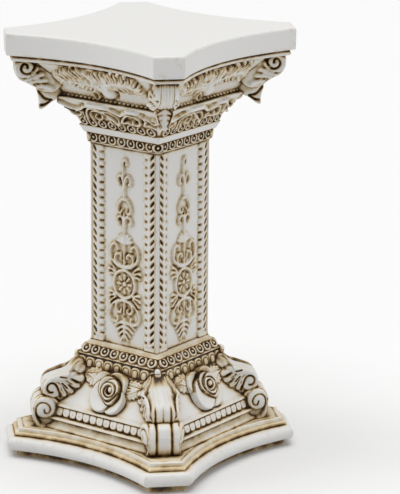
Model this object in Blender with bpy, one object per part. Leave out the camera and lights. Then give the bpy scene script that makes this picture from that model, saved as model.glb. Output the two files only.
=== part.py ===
"""Roman style pedestal column, cast in resin as one piece.

The body is a stack of lofted plan sections: a hollow-sided plinth, a battered base block, a square
shaft, a flared capital and a hollow-sided slab. The carving is joined to it by Booleans: corner
scrolls and acanthus leaves, roses, ringed beads, tongues, tabs, and the ornament of the panels.
Every carved group is made once, for one face or one corner, and turned round the column.
"""

import math

import bmesh
import bpy
from mathutils import Matrix, Vector

MM = 0.001
SIDES = 4
QUARTER = math.pi / 2

# Slab and plinth: half side, corner cut, hollow of the sides
HEIGHT = 300 * MM
SLAB_HALF = 77.2 * MM
SLAB_CLIP = 14.6 * MM
SLAB_SAG = 12.6 * MM
SLAB_THICKNESS = 15.2 * MM
SLAB_EDGE = 0.6 * MM
PLINTH_SAG = 11.3 * MM

# Plinth, from the floor up: height, half side, corner cut (mm)
PLINTH_STEPS = (
    (0.0, 74.9, 16.0),
    (4.5, 74.9, 16.0),
    (4.7, 78.6, 19.6),
    (6.8, 82.0, 22.6),
    (9.6, 82.8, 23.2),
    (13.4, 81.4, 21.8),
    (15.3, 76.0, 16.4),
    (17.2, 75.6, 15.6),
    (17.7, 73.6, 14.4),
    (20.4, 62.0, 9.0),
)

# Straight-sided stack, from inside the plinth to the fillet of the capital (mm)
BODY_STEPS = (
    (12.0, 60.0, 14.0),
    (18.0, 63.0, 17.0),
    (20.6, 63.0, 17.0),
    (21.6, 61.6, 16.4),
    (23.6, 59.0, 15.0),
    (26.4, 57.8, 14.0),
    (26.6, 59.0, 14.0),
    (28.2, 58.6, 14.0),
    (28.4, 57.0, 13.0),
    (35.4, 54.4, 10.0),
    (35.6, 55.8, 10.0),
    (37.4, 55.2, 9.0),
    (37.8, 53.2, 5.0),
    (45.0, 47.6, 2.0),
    (53.0, 43.0, 1.0),
    (62.0, 39.0, 1.0),
    (64.0, 37.0, 1.0),
    (70.4, 35.0, 1.0),
    (70.8, 36.4, 1.0),
    (72.0, 36.0, 1.0),
    (77.6, 32.4, 1.0),
    (79.5, 30.2, 1.0),
    (84.0, 28.6, 1.0),
    (221.0, 28.6, 1.0),
    (222.6, 30.4, 1.0),
    (229.0, 31.2, 1.0),
    (229.3, 32.4, 1.0),
    (230.4, 33.2, 1.0),
    (234.4, 35.0, 1.0),
    (234.8, 34.4, 1.0),
    (240.8, 37.8, 1.0),
    (247.6, 41.0, 1.0),
    (252.6, 45.4, 1.0),
    (253.4, 47.2, 1.0),
    (255.0, 47.4, 1.0),
    (255.3, 45.2, 1.0),
    (258.0, 44.8, 1.0),
)

# Flare of the capital: height, half side at the corners, corner cut, hollow of the side (mm)
FLARE_STEPS = (
    (250.0, 40.0, 1.0, 0.0),
    (256.0, 44.6, 1.4, 0.2),
    (262.0, 49.4, 3.0, 3.4),
    (268.0, 56.6, 6.0, 7.4),
    (274.0, 65.0, 10.0, 10.4),
    (279.6, 72.4, 13.0, 12.2),
    (281.0, 73.8, 13.6, 12.6),
    (283.0, 74.4, 13.8, 12.6),
    (283.4, 72.8, 13.4, 12.6),
    (290.0, 72.8, 13.4, 12.6),
)

# Shaft: posts at its arrises, toothed leaf borders beside them, sunk panels between
SHAFT_HALF = 29.5 * MM
SHAFT_BOTTOM = 79.5 * MM
SHAFT_TOP = 222 * MM
POST_WIDTH = 5 * MM
PANEL_DEPTH = 0.9 * MM
BORDER_DEPTH = 0.25 * MM
BORDER_OUTER = 26 * MM
BORDER_INNER = 20.8 * MM
BORDER_TIP = 17.8 * MM
BORDER_BOTTOM = 85 * MM
BORDER_TOP = 219 * MM
BORDER_TEETH = 9
BORDER_THICKNESS = 3 * MM

# Ringed beads and their rows: count on a face, pitch, height, lean of the face
RING_RADIUS = 3.9 * MM
RING_DEPTH = 2.4 * MM
RING_PROUD = 0.8 * MM
RING_CORNERS = 5
RING_ROWS = (
    (8, 8.4 * MM, 237.6 * MM, -0.50),
    (7, 8.0 * MM, 226.0 * MM, -0.10),
    (8, 8.2 * MM, 74.6 * MM, 0.56),
)

# Strips of hanging ends: count, pitch, height, half length, thickness, lean, and the points of the
# gap between two ends, as places across in pitches and rises in lengths
TONGUES = (9, 8.0 * MM, 66.1 * MM, 4.3 * MM, 5.6 * MM, 0.26, ((-0.27, 0.0), (0.0, 0.5), (0.27, 0.0)))
TABS = (13, 6.0 * MM, 32.2 * MM, 2.7 * MM, 2.6 * MM, 0.36, ((0.0, 0.55), (0.5, 0.0)))

# Corner scrolls, in the plane of the diagonal: centre out and up, radius, half width
BASE_SCROLL = (76.4 * MM, 27.6 * MM, 9.8 * MM, 14.5 * MM)
BASE_ROOT = (30 * MM, 22 * MM, 14 * MM)
BASE_PAD_WIDTH = 9 * MM
BASE_PAD_PROUD = 1.2 * MM
CAPITAL_SCROLL = (84.6 * MM, 273.6 * MM, 8.6 * MM, 8.3 * MM)
CAPITAL_ROOT = (30 * MM, 11 * MM, 12 * MM)
ROOT_INSET = 11.5 * MM
SCROLL_STEPS = 10
CHEEK_RIB = 1.2 * MM
CHEEK_INSET = 1.8 * MM
CHEEK_TURNS = 0.9
CHEEK_STEPS = 4
CHEEK_START = {"base": -0.4, "capital": -2.6}

# Ribs lie this far inside the face that they stand on, and a scroll winds in to this share
RIB_SINK = 0.35 * MM
SCROLL_EYE = 0.33

# Corner leaves: front point and back point in the plane of the diagonal, half width (mm)
BASE_LEAF = (
    ((52.6, 67.0), (44.0, 63.0), 3.0),
    ((56.0, 63.4), (46.0, 56.0), 7.5),
    ((62.0, 58.6), (50.0, 50.0), 8.5),
    ((74.0, 53.4), (59.0, 41.0), 9.4),
    ((77.4, 48.0), (62.0, 38.0), 10.2),
    ((77.8, 42.6), (62.0, 36.0), 9.6),
    ((75.4, 37.8), (62.0, 34.0), 9.0),
)
DROOP_LEAF = (
    ((88.0, 266.6), (66.0, 272.0), 7.6),
    ((84.4, 263.4), (64.0, 266.0), 8.0),
    ((81.0, 259.6), (60.0, 261.0), 8.6),
    ((77.9, 253.4), (58.0, 252.6), 7.2),
    ((77.0, 248.6), (66.0, 248.6), 3.4),
    ((76.8, 245.4), (74.8, 246.6), 0.8),
)
LEAF_LOBES = 0.14
LEAF_ROUNDING = 0.28
LEAF_BACK = 0.8

# Roses of the base, from the bud out: share of the radius, rise (mm), depth of the four petals
ROSE_ROUNDS = (
    (0.22, 9.0, 0.0),
    (0.40, 6.2, 0.0),
    (0.52, 8.0, 0.05),
    (0.64, 5.6, 0.05),
    (0.88, 6.4, -0.05),
    (1.00, 2.6, -0.06),
    (0.86, -5.0, -0.05),
)
ROSE_HEIGHT = 52.4 * MM
ROSE_RADIUS = 12 * MM
ROSE_SECTORS = 8
ROSE_LEAN = 0.5

# Leaves of the rose: side, height, tilt
ROSE_LEAVES = ((1, 51.0 * MM, 0.1), (-1, 53.5 * MM, 2.95))
ROSE_LEAF_START = 8 * MM

# Leaf sprays under the slab, with a shell boss between them
SPRAY_HEIGHT = 263 * MM
SPRAY_HALF = 48.4 * MM
SPRAY_LEAN = -0.50
SPRAY_TILT = 0.34
SPRAY_START = 3 * MM
SHELL_LEAN = -0.28

# Vine round the neck of the capital, on each half of a face
NECK_HEIGHT = 247 * MM
NECK_LEAN = -0.58
NECK_START = 3 * MM
NECK_LENGTH = 26 * MM
NECK_SWING = 4 * MM
NECK_STEPS = 7

# Panel ornament: pairs of scrolls, each with place across, height, radius, first angle, turns, steps
PANEL_PAIRS = (
    (4.8 * MM, 147.4 * MM, 4.6 * MM, 2.4, -0.9, 4),
    (4.8 * MM, 103.0 * MM, 4.6 * MM, -2.4, 0.9, 4),
)
PANEL_RIB = 1.3 * MM
STEM = (1.6 * MM, 1.6 * MM, 126 * MM)
STEM_HEIGHT = 150 * MM
MEDALLION_HEIGHT = 126 * MM
HEART_HEIGHT = 180 * MM

# Panel leaves: height of the root, tilt from upright, length, width, teeth
PANEL_LEAVES = (
    (101 * MM, math.pi, 16 * MM, 9 * MM, 2),
    (154 * MM, 0, 15 * MM, 10 * MM, 1),
)

# Colour of the aged white resin
RESIN_COLOUR = (0.66, 0.63, 0.57, 1.0)
RESIN_ROUGHNESS = 0.6


def clear_scene():
    for item in list(bpy.data.objects):
        bpy.data.objects.remove(item, do_unlink=True)


def new_collection(name):
    group = bpy.data.collections.new(name)
    bpy.context.scene.collection.children.link(group)
    return group


def new_object(name, mesh, group):
    made = bpy.data.objects.new(name, mesh)
    group.objects.link(made)
    return made


def half_at(height):
    """Half width of the straight-sided stack at a height."""
    for low, high in zip(BODY_STEPS, BODY_STEPS[1:]):
        if low[0] * MM <= height <= high[0] * MM:
            share = (height / MM - low[0]) / (high[0] - low[0])
            return (low[1] + share * (high[1] - low[1])) * MM
    raise ValueError("height outside the stack")


def on_face(face, across, height, out=0.0, lean=0.0, half=None):
    """Matrix of a place on a face: X along the face, Y up it, Z out of it. Lean tips the face back."""
    if half is None:
        half = half_at(height)
    up = Vector((0, math.sin(lean), math.cos(lean)))
    normal = Vector((0, -math.cos(lean), math.sin(lean)))
    place = Vector((across, -half, height)) + normal * out
    frame = Matrix((
        (1, up.x, normal.x, place.x),
        (0, up.y, normal.y, place.y),
        (0, up.z, normal.z, place.z),
        (0, 0, 0, 1),
    ))
    return Matrix.Rotation(face * QUARTER, 4, "Z") @ frame


def on_panel(face, height):
    """Matrix of a place up the middle of a shaft panel."""
    return on_face(face, 0, height, half=SHAFT_HALF - PANEL_DEPTH)


def on_corner(corner):
    """Matrix of a corner: X out along the diagonal, Y round the column, Z up."""
    return Matrix.Rotation((corner - 0.5) * QUARTER, 4, "Z")


def outline(half, clip, sag, steps):
    """Plan of a square with cut corners and hollow sides, going anticlockwise."""
    reach = half - clip
    side = []
    for step in range(steps + 1):
        across = reach * (2 * step / steps - 1)
        side.append(Vector((across, -half + sag * (1 - (across / reach) ** 2), 0)))
    return [Matrix.Rotation(turn * QUARTER, 3, "Z") @ point for turn in range(SIDES) for point in side]


def loft(sheet, rings):
    """Joins closed rings of points, each as long as the next, and caps both ends."""
    rows = [[sheet.verts.new(point) for point in ring] for ring in rings]
    count = len(rows[0])
    for low, high in zip(rows, rows[1:]):
        for i in range(count):
            j = (i + 1) % count
            sheet.faces.new((low[i], low[j], high[j], high[i]))
    sheet.faces.new(rows[0][::-1])
    sheet.faces.new(rows[-1])


def mesh_of(name, sheet):
    bmesh.ops.recalc_face_normals(sheet, faces=sheet.faces)
    mesh = bpy.data.meshes.new(name)
    sheet.to_mesh(mesh)
    sheet.free()
    return mesh


def stacked_mesh(name, steps, side_steps):
    """Lofts a list of plan sections."""
    sheet = bmesh.new()
    rings = []
    for height, half, clip, sag in steps:
        rings.append([point + Vector((0, 0, height)) for point in outline(half, clip, sag, side_steps)])
    loft(sheet, rings)
    return mesh_of(name, sheet)


def add_copy(sheet, mesh, matrix):
    """Adds a mesh to a sheet at a place."""
    before = len(sheet.verts)
    sheet.from_mesh(mesh)
    sheet.verts.ensure_lookup_table()
    bmesh.ops.transform(sheet, matrix=matrix, verts=sheet.verts[before:])


def from_curve(name, points, closed, radius=0.0, depth=0.0):
    """Mesh of a four-sided rib along points, or of a flat outline with a thickness."""
    data = bpy.data.curves.new(name, "CURVE")
    spline = data.splines.new("POLY")
    spline.points.add(len(points) - 1)
    for slot, place in zip(spline.points, points):
        slot.co = (*place, 1)
    spline.use_cyclic_u = closed
    if radius:
        data.dimensions = "3D"
        data.bevel_depth = radius
        data.bevel_resolution = 0
        data.use_fill_caps = True
    else:
        data.dimensions = "2D"
        data.fill_mode = "BOTH"
        data.extrude = depth / 2
    guide = bpy.data.objects.new(name, data)
    bpy.context.scene.collection.objects.link(guide)
    bpy.context.view_layer.update()
    mesh = bpy.data.meshes.new_from_object(guide.evaluated_get(bpy.context.evaluated_depsgraph_get()))
    bpy.data.objects.remove(guide, do_unlink=True)
    sheet = bmesh.new()
    sheet.from_mesh(mesh)
    bmesh.ops.remove_doubles(sheet, verts=sheet.verts, dist=1e-6)
    return mesh_of(name, sheet)


def rib(name, points, radius):
    return from_curve(name, points, False, radius=radius)


def plate(name, points, depth):
    return from_curve(name, [(x, y, 0) for x, y in points], True, depth=depth)


def stud(name, radius, top_radius, depth, sides, stretch=1.0):
    """Boss with sloping sides, centred on its own plane."""
    sheet = bmesh.new()
    bmesh.ops.create_cone(
        sheet, cap_ends=True, segments=sides, radius1=radius, radius2=top_radius, depth=depth,
        matrix=Matrix.Diagonal((1, stretch, 1, 1)),
    )
    return mesh_of(name, sheet)


def box(name, size):
    sheet = bmesh.new()
    bmesh.ops.create_cube(sheet, size=1, matrix=Matrix.Diagonal((*size, 1)))
    return mesh_of(name, sheet)


def spiral(centre, start, end, turns, steps, first=0.0):
    """Points of a scroll that winds in from radius start to radius end."""
    points = []
    for step in range(steps + 1):
        share = step / steps
        angle = first + share * turns * math.tau
        radius = start + (end - start) * share
        points.append((centre[0] + radius * math.cos(angle), centre[1] + radius * math.sin(angle)))
    return points


def ring_rows():
    """The three rows of ringed beads: two on the capital, one on the base."""
    bead = stud("ring_bead", RING_RADIUS, 0, RING_DEPTH, RING_CORNERS)
    sheet = bmesh.new()
    for face in range(SIDES):
        for count, pitch, height, lean in RING_ROWS:
            for i in range(count):
                across = (i - (count - 1) / 2) * pitch
                add_copy(sheet, bead, on_face(face, across, height, RING_PROUD, lean))
    return mesh_of("ring_beads", sheet)


def hanging_strip(name, sizes):
    """Strip on every face whose lower edge hangs in a row of ends: the tongues, and the tabs."""
    count, pitch, height, half_length, thickness, lean, gap = sizes
    left = -count * pitch / 2
    points = [(-left, half_length), (left, half_length), (left, -half_length)]
    for i in range(1, count):
        for across, rise in gap:
            points.append((left + (i + across) * pitch, half_length * (2 * rise - 1)))
    points.append((-left, -half_length))
    strip = plate(name, points, thickness)
    sheet = bmesh.new()
    for face in range(SIDES):
        add_copy(sheet, strip, on_face(face, 0, height, 0, lean))
    return mesh_of(name, sheet)


def side_shape(name, points, width):
    """Outline in the plane of the diagonal, as thick as the width."""
    mesh = plate(name, points, width)
    mesh.transform(Matrix.Rotation(QUARTER, 4, "X"))
    return mesh


def drum(name, centre, radius, width):
    """Round scroll body, lying across a corner."""
    turn = 1 - 1 / SCROLL_STEPS
    return side_shape(name, spiral(centre, radius, radius, turn, SCROLL_STEPS - 1), width)


def at_corners(name, meshes):
    """Copies meshes made in the plane of the diagonal to all four corners."""
    sheet = bmesh.new()
    for corner in range(SIDES):
        for mesh in meshes:
            add_copy(sheet, mesh, on_corner(corner))
    return mesh_of(name, sheet)


def scroll_cheeks(name, sizes, first):
    """Raised spirals on both cheeks of a corner scroll."""
    out, up, radius, half_width = sizes
    start = radius - CHEEK_INSET
    path = spiral((out, up), start, SCROLL_EYE * start, CHEEK_TURNS, CHEEK_STEPS, first)
    meshes = []
    for side in (-1, 1):
        face = side * (half_width - RIB_SINK)
        meshes.append(rib(name, [(x, face, z) for x, z in path], CHEEK_RIB))
    return at_corners(name, meshes)


def scroll_root(name, sizes, size):
    """Block that ties a corner scroll to the body behind it."""
    root = box(name, size)
    root.transform(Matrix.Translation((sizes[0] - ROOT_INSET, 0, sizes[1])))
    return root


def base_scrolls():
    """Lower scroll of each base corner, with a round pad between two rims."""
    out, up, radius, half_width = BASE_SCROLL
    body = drum("base_scroll", (out, up), radius, 2 * half_width)
    pad = drum("base_pad", (out, up), radius + BASE_PAD_PROUD, BASE_PAD_WIDTH)
    return [
        at_corners("base_scrolls", [body]),
        at_corners("base_pads", [pad]),
        at_corners("base_roots", [scroll_root("base_root", BASE_SCROLL, BASE_ROOT)]),
        scroll_cheeks("base_cheeks", BASE_SCROLL, CHEEK_START["base"]),
    ]


def capital_scrolls():
    """Upper scroll of each capital corner, under the slab."""
    out, up, radius, half_width = CAPITAL_SCROLL
    body = drum("capital_scroll", (out, up), radius, 2 * half_width)
    return [
        at_corners("capital_scrolls", [body]),
        at_corners("capital_roots", [scroll_root("capital_root", CAPITAL_SCROLL, CAPITAL_ROOT)]),
        scroll_cheeks("capital_cheeks", CAPITAL_SCROLL, CHEEK_START["capital"]),
    ]


def leaf_mesh(name, stations):
    """Closed leaf along a spine in the plane of a corner. Every second station is wider, which makes
    the toothed outline."""
    sheet = bmesh.new()
    rings = []
    for i, (front, back, half) in enumerate(stations):
        crest = Vector((front[0], 0, front[1]))
        root = Vector((back[0], 0, back[1]))
        edge = crest + (root - crest) * LEAF_ROUNDING
        reach = Vector((0, half * (1 + LEAF_LOBES * (i % 2)), 0))
        ring = [root - reach * LEAF_BACK, edge - reach, crest, edge + reach, root + reach * LEAF_BACK]
        rings.append([point * MM for point in ring])
    loft(sheet, rings)
    return mesh_of(name, sheet)


def corner_leaves():
    """Acanthus leaves that run down the base corners, and those that droop from the capital."""
    return at_corners("corner_leaves", [leaf_mesh("base_leaf", BASE_LEAF), leaf_mesh("droop_leaf", DROOP_LEAF)])


def rose_mesh():
    """Open rose as a turned relief: a bud, a trough and two rounds of petals."""
    sheet = bmesh.new()
    rings = []
    for share, rise, petal in ROSE_ROUNDS:
        ring = []
        for i in range(ROSE_SECTORS):
            angle = math.tau * i / ROSE_SECTORS
            radius = ROSE_RADIUS * share * (1 + petal * math.cos(4 * angle))
            ring.append(Vector((radius * math.cos(angle), radius * math.sin(angle), rise * MM)))
        rings.append(ring)
    loft(sheet, rings)
    return mesh_of("rose", sheet)


def serrated_leaf(name, length, width, teeth, depth):
    """Pointed leaf with toothed edges, lying along +X from its root."""
    upper = []
    for i in range(2 * teeth):
        share = i / (2 * teeth)
        swell = math.sin(math.pi * (0.12 + 0.88 * share)) ** 0.7
        tooth = 1.0 if i % 2 else 0.74
        upper.append((length * share, 0.5 * width * swell * tooth))
    lower = [(x, -y) for x, y in reversed(upper)]
    return plate(name, upper + [(length, 0)] + lower, depth)


def roses():
    """A rose in the middle of each base face, with a pair of leaves behind it."""
    rose = rose_mesh()
    leaf = serrated_leaf("rose_leaf", 17 * MM, 14 * MM, 3, 8 * MM)
    flowers = bmesh.new()
    leaves = bmesh.new()
    for face in range(SIDES):
        add_copy(flowers, rose, on_face(face, 0, ROSE_HEIGHT, 0, ROSE_LEAN))
        for side, height, tilt in ROSE_LEAVES:
            place = on_face(face, side * ROSE_LEAF_START, height, 0, ROSE_LEAN)
            add_copy(leaves, leaf, place @ Matrix.Rotation(tilt, 4, "Z"))
    return [mesh_of("rose_leaves", leaves), mesh_of("roses", flowers)]


def sprays():
    """Two winged leaf sprays about a shell boss, on each face of the capital."""
    wing = serrated_leaf("spray_leaf", 33 * MM, 17 * MM, 3, 9 * MM)
    boss = stud("shell_boss", 8 * MM, 4.6 * MM, 9 * MM, 7, 0.85)
    wings = bmesh.new()
    bosses = bmesh.new()
    for face in range(SIDES):
        for side, tilt in ((1, SPRAY_TILT), (-1, math.pi - SPRAY_TILT)):
            place = on_face(face, side * SPRAY_START, SPRAY_HEIGHT, 0, SPRAY_LEAN, SPRAY_HALF)
            add_copy(wings, wing, place @ Matrix.Rotation(tilt, 4, "Z"))
        add_copy(bosses, boss, on_face(face, 0, SPRAY_HEIGHT, 0, SHELL_LEAN, SPRAY_HALF))
    return [mesh_of("sprays", wings), mesh_of("shell_bosses", bosses)]


def neck_vines():
    """Flowing vine round the neck of the capital, under its fillet."""
    path = []
    for step in range(NECK_STEPS + 1):
        share = step / NECK_STEPS
        path.append((NECK_START + NECK_LENGTH * share, NECK_SWING * math.cos(2 * math.tau * share)))
    sheet = bmesh.new()
    for side in (-1, 1):
        vine = rib("neck_vine", [(side * x, y, -RIB_SINK) for x, y in path], CHEEK_RIB)
        for face in range(SIDES):
            add_copy(sheet, vine, on_face(face, 0, NECK_HEIGHT, 0, NECK_LEAN))
    return mesh_of("neck_vines", sheet)


def shaft_posts():
    """Square posts at the shaft's arrises."""
    tall = SHAFT_TOP - SHAFT_BOTTOM
    post = box("post", (POST_WIDTH, POST_WIDTH, tall))
    inset = SHAFT_HALF - POST_WIDTH / 2
    sheet = bmesh.new()
    for turn in range(SIDES):
        place = Matrix.Rotation(turn * QUARTER, 4, "Z")
        add_copy(sheet, post, place @ Matrix.Translation((inset, -inset, SHAFT_BOTTOM + tall / 2)))
    return mesh_of("posts", sheet)


def shaft_borders():
    """Leaf border beside each post, with a toothed inner edge."""
    pitch = (BORDER_TOP - BORDER_BOTTOM) / BORDER_TEETH
    sheet = bmesh.new()
    for side in (-1, 1):
        points = [(BORDER_OUTER, BORDER_TEETH * pitch), (BORDER_OUTER, 0)]
        for step in range(BORDER_TEETH):
            points.append((BORDER_TIP, (step + 0.25) * pitch))
            points.append((BORDER_INNER, (step + 0.8) * pitch))
        strip = plate("border", [(side * x, y) for x, y in points], BORDER_THICKNESS)
        inset = SHAFT_HALF - BORDER_DEPTH - BORDER_THICKNESS / 2
        for face in range(SIDES):
            add_copy(sheet, strip, on_face(face, 0, BORDER_BOTTOM, half=inset))
    return mesh_of("borders", sheet)


def panel_scrolls():
    """Paired scrolls up the middle of each shaft panel."""
    sheet = bmesh.new()
    for across, height, radius, first, turns, steps in PANEL_PAIRS:
        path = spiral((across, 0), radius, SCROLL_EYE * radius, turns, steps, first)
        for side in (-1, 1):
            stroke = rib("panel_scroll", [(side * x, y, -RIB_SINK) for x, y in path], PANEL_RIB)
            for face in range(SIDES):
                add_copy(sheet, stroke, on_panel(face, height))
    return mesh_of("panel_scrolls", sheet)


def panel_bosses():
    """Stem, leaves, medallion with its flower, and heart of each shaft panel."""
    stem = box("stem", STEM)
    medallion = stud("medallion", 9.0 * MM, 7.2 * MM, 3.6 * MM, 8, 1.2)
    flower = stud("flower", 4.8 * MM, 3.0 * MM, 5.4 * MM, 6, 1.15)
    heart = stud("heart", 5.4 * MM, 3.6 * MM, 3.2 * MM, 5, 1.1)
    stems = bmesh.new()
    bosses = bmesh.new()
    flowers = bmesh.new()
    for face in range(SIDES):
        upright = Matrix.Rotation(face * QUARTER, 4, "Z")
        add_copy(stems, stem, upright @ Matrix.Translation((0, PANEL_DEPTH - SHAFT_HALF, STEM_HEIGHT)))
        add_copy(bosses, medallion, on_panel(face, MEDALLION_HEIGHT))
        add_copy(bosses, heart, on_panel(face, HEART_HEIGHT))
        add_copy(flowers, flower, on_panel(face, MEDALLION_HEIGHT))
        for height, tilt, length, width, teeth in PANEL_LEAVES:
            leaf = serrated_leaf("panel_leaf", length, width, teeth, 3 * MM)
            add_copy(bosses, leaf, on_panel(face, height) @ Matrix.Rotation(QUARTER + tilt, 4, "Z"))
    return [mesh_of("stems", stems), mesh_of("medallions", bosses), mesh_of("flowers", flowers)]


def resin_material():
    made = bpy.data.materials.new("aged_white_resin")
    made.use_nodes = True
    shader = made.node_tree.nodes["Principled BSDF"]
    shader.inputs["Base Color"].default_value = RESIN_COLOUR
    shader.inputs["Roughness"].default_value = RESIN_ROUGHNESS
    shader.inputs["Metallic"].default_value = 0.0
    return made


def body_meshes():
    """The four lofts that make the bare body: plinth, straight stack, flare and slab."""
    plinth = [(z * MM, half * MM, clip * MM, PLINTH_SAG) for z, half, clip in PLINTH_STEPS]
    stack = [(z * MM, half * MM, clip * MM, 0) for z, half, clip in BODY_STEPS]
    flare = [tuple(size * MM for size in step) for step in FLARE_STEPS]
    under = HEIGHT - SLAB_THICKNESS
    slab = []
    for height, inset in ((under, SLAB_EDGE), (under + SLAB_EDGE, 0), (HEIGHT - SLAB_EDGE, 0), (HEIGHT, SLAB_EDGE)):
        slab.append((height, SLAB_HALF - inset, SLAB_CLIP, SLAB_SAG))
    return [
        stacked_mesh("plinth", plinth, 6),
        stacked_mesh("stack", stack, 1),
        stacked_mesh("flare", flare, 4),
        stacked_mesh("slab", slab, 6),
    ]


def join_to(column, meshes, solver, group):
    """Unites helper meshes with the column, one modifier each."""
    for mesh in meshes:
        helper = new_object(mesh.name, mesh, group)
        helper.hide_render = True
        helper.display_type = "WIRE"
        join = column.modifiers.new(mesh.name, "BOOLEAN")
        join.operation = "UNION"
        join.object = helper
        join.solver = solver


def main():
    clear_scene()
    parts = new_collection("roman_column")
    carving = new_collection("roman_column_carving")
    plinth, *rest = body_meshes()
    column = new_object("column", plinth, parts)
    join_to(column, rest, "EXACT", carving)
    # The exact solver leaves open edges where many small carved faces meet, so these are joined
    # by the manifold solver
    groups = [shaft_posts(), shaft_borders(), corner_leaves()]
    groups += base_scrolls() + capital_scrolls()
    groups += [ring_rows(), hanging_strip("tongues", TONGUES), hanging_strip("tabs", TABS), neck_vines()]
    groups += roses() + sprays() + panel_bosses() + [panel_scrolls()]
    join_to(column, groups, "MANIFOLD", carving)
    column.data.materials.append(resin_material())


main()
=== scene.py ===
import math

import bpy
import numpy as np
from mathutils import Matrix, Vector
from mathutils.bvhtree import BVHTree


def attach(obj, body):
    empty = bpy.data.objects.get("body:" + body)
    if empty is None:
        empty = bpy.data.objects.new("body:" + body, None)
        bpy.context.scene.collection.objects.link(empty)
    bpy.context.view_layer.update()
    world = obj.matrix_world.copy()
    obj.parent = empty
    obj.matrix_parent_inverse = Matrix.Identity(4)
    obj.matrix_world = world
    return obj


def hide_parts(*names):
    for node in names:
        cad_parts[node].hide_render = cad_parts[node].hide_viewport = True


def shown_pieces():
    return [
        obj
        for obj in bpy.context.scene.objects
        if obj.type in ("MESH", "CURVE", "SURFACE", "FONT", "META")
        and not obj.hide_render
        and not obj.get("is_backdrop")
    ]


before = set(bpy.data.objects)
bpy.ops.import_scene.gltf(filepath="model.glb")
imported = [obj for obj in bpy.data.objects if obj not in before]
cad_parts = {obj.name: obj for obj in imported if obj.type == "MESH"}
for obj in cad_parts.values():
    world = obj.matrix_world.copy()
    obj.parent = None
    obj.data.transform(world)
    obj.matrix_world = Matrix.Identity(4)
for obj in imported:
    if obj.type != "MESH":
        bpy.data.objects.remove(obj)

bl_info = {
    "name": "Roman column stand",
    "version": (1, 0, 0),
    "blender": (4, 5, 0),
    "location": "3D View > Sidebar > Column",
    "description": "Carves and ages a small cast resin column over its plain solid",
    "category": "Object",
}

MM = 0.001
SIDES = 4
QUARTER = math.pi / 2
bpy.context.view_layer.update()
NODE = "column"
SLOT = "aged_white_resin"
WASH_AND_SHADE = "wash_and_shade"
CREST_AND_HIGHLIGHT = "crest_and_highlight"
CHIP = "chip"
TINY = 1e-9

# Fine grain of the resin: bumps in a metre, and their depth
GRAIN_SCALE = 1400
GRAIN_DEPTH = 0.2 * MM

RAY_SEED = 3
RAY_LIFT = 0.12
GOLDEN = 0.618034

# Stage: half size of the floor, width of the camera's sensor (mm) and nearest distance that it sees
FLOOR_HALF = 6.0
SENSOR = 36
NEAREST = 0.05

# Lights: name, direction that each comes from, degrees that it spreads over, strength
LIGHTS = (
    ("top", (0.0, -0.1, 1.0), 60, 2.6),
    ("left", (-0.85, -0.65, 0.5), 40, 0.9),
    ("right", (0.8, 0.5, 0.5), 40, 0.85),
)

# What properties of one kind share
COLOUR = {"subtype": "COLOR", "size": 4, "min": 0, "max": 1}
SHARE = {"subtype": "FACTOR", "min": 0, "max": 1}
ANGLE = {"subtype": "ANGLE", "unit": "ROTATION"}


def hollowed(hollow, *sections):
    """Sections whose sides have the same hollow."""
    return tuple((*section, hollow) for section in sections)


# Sections of the body, from the floor up: height, half side, corner cut, hollow of the side (mm)
PLINTH = hollowed(
    11.3, (0, 74.9, 16), (4.4, 74.9, 16), (4.6, 78.4, 19.4), (5.4, 80.4, 21.2), (6.8, 82, 22.6), (8.6, 82.7, 23.1),
    (10.6, 82.7, 23.1), (12.4, 82, 22.5), (13.4, 81, 21.5), (14.2, 78.6, 19.2), (14.8, 76.4, 17), (15.2, 75.4, 16),
    (15.5, 76.4, 17.2), (17, 75.9, 17), (17.2, 74.4, 16), (17.5, 73.9, 15.8), (19.9, 73.5, 15.4), (20.3, 72.8, 15),
    (20.3, 71.2, 14.6), (19.8, 70.8, 14.5), (19.8, 70.3, 14.3), (20.3, 69.9, 14.2),
) + (
    (20.4, 67, 13, 10), (20.4, 62, 9, 8),
)
BASE = hollowed(
    0, (16, 58.8, 15), (18, 60.6, 16), (20.8, 60.6, 16), (21.1, 60, 15.8), (21.9, 59.6, 15.6), (22.2, 58.8, 15),
    (24, 57.6, 14.6), (26.2, 57, 14), (26.5, 58.8, 14), (26.9, 59.2, 14), (28, 58.9, 14), (28.3, 57.6, 13.4),
    (28.8, 55.4, 12.4), (35.2, 53.2, 10), (35.5, 55.4, 10), (35.9, 55.9, 10), (37.2, 55.4, 9), (37.6, 54, 6),
    (38, 52.8, 5), (45, 47.6, 2), (53, 43, 1), (62, 39, 1), (63, 36, 1), (70.2, 34, 1), (70.6, 36, 1),
    (71, 36.5, 1), (71.6, 36.4, 1), (72, 35.4, 1), (77, 31.6, 1), (77.3, 32.6, 1), (78, 32.4, 1), (78.4, 31, 1),
    (80.2, 30, 1),
)
SHAFT = hollowed(0, (78, 30, 0.9), (80, 29.9, 0.9), (83, 29.5, 0.9), (221, 29.5, 0.9), (223.6, 29.5, 0.9))
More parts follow.
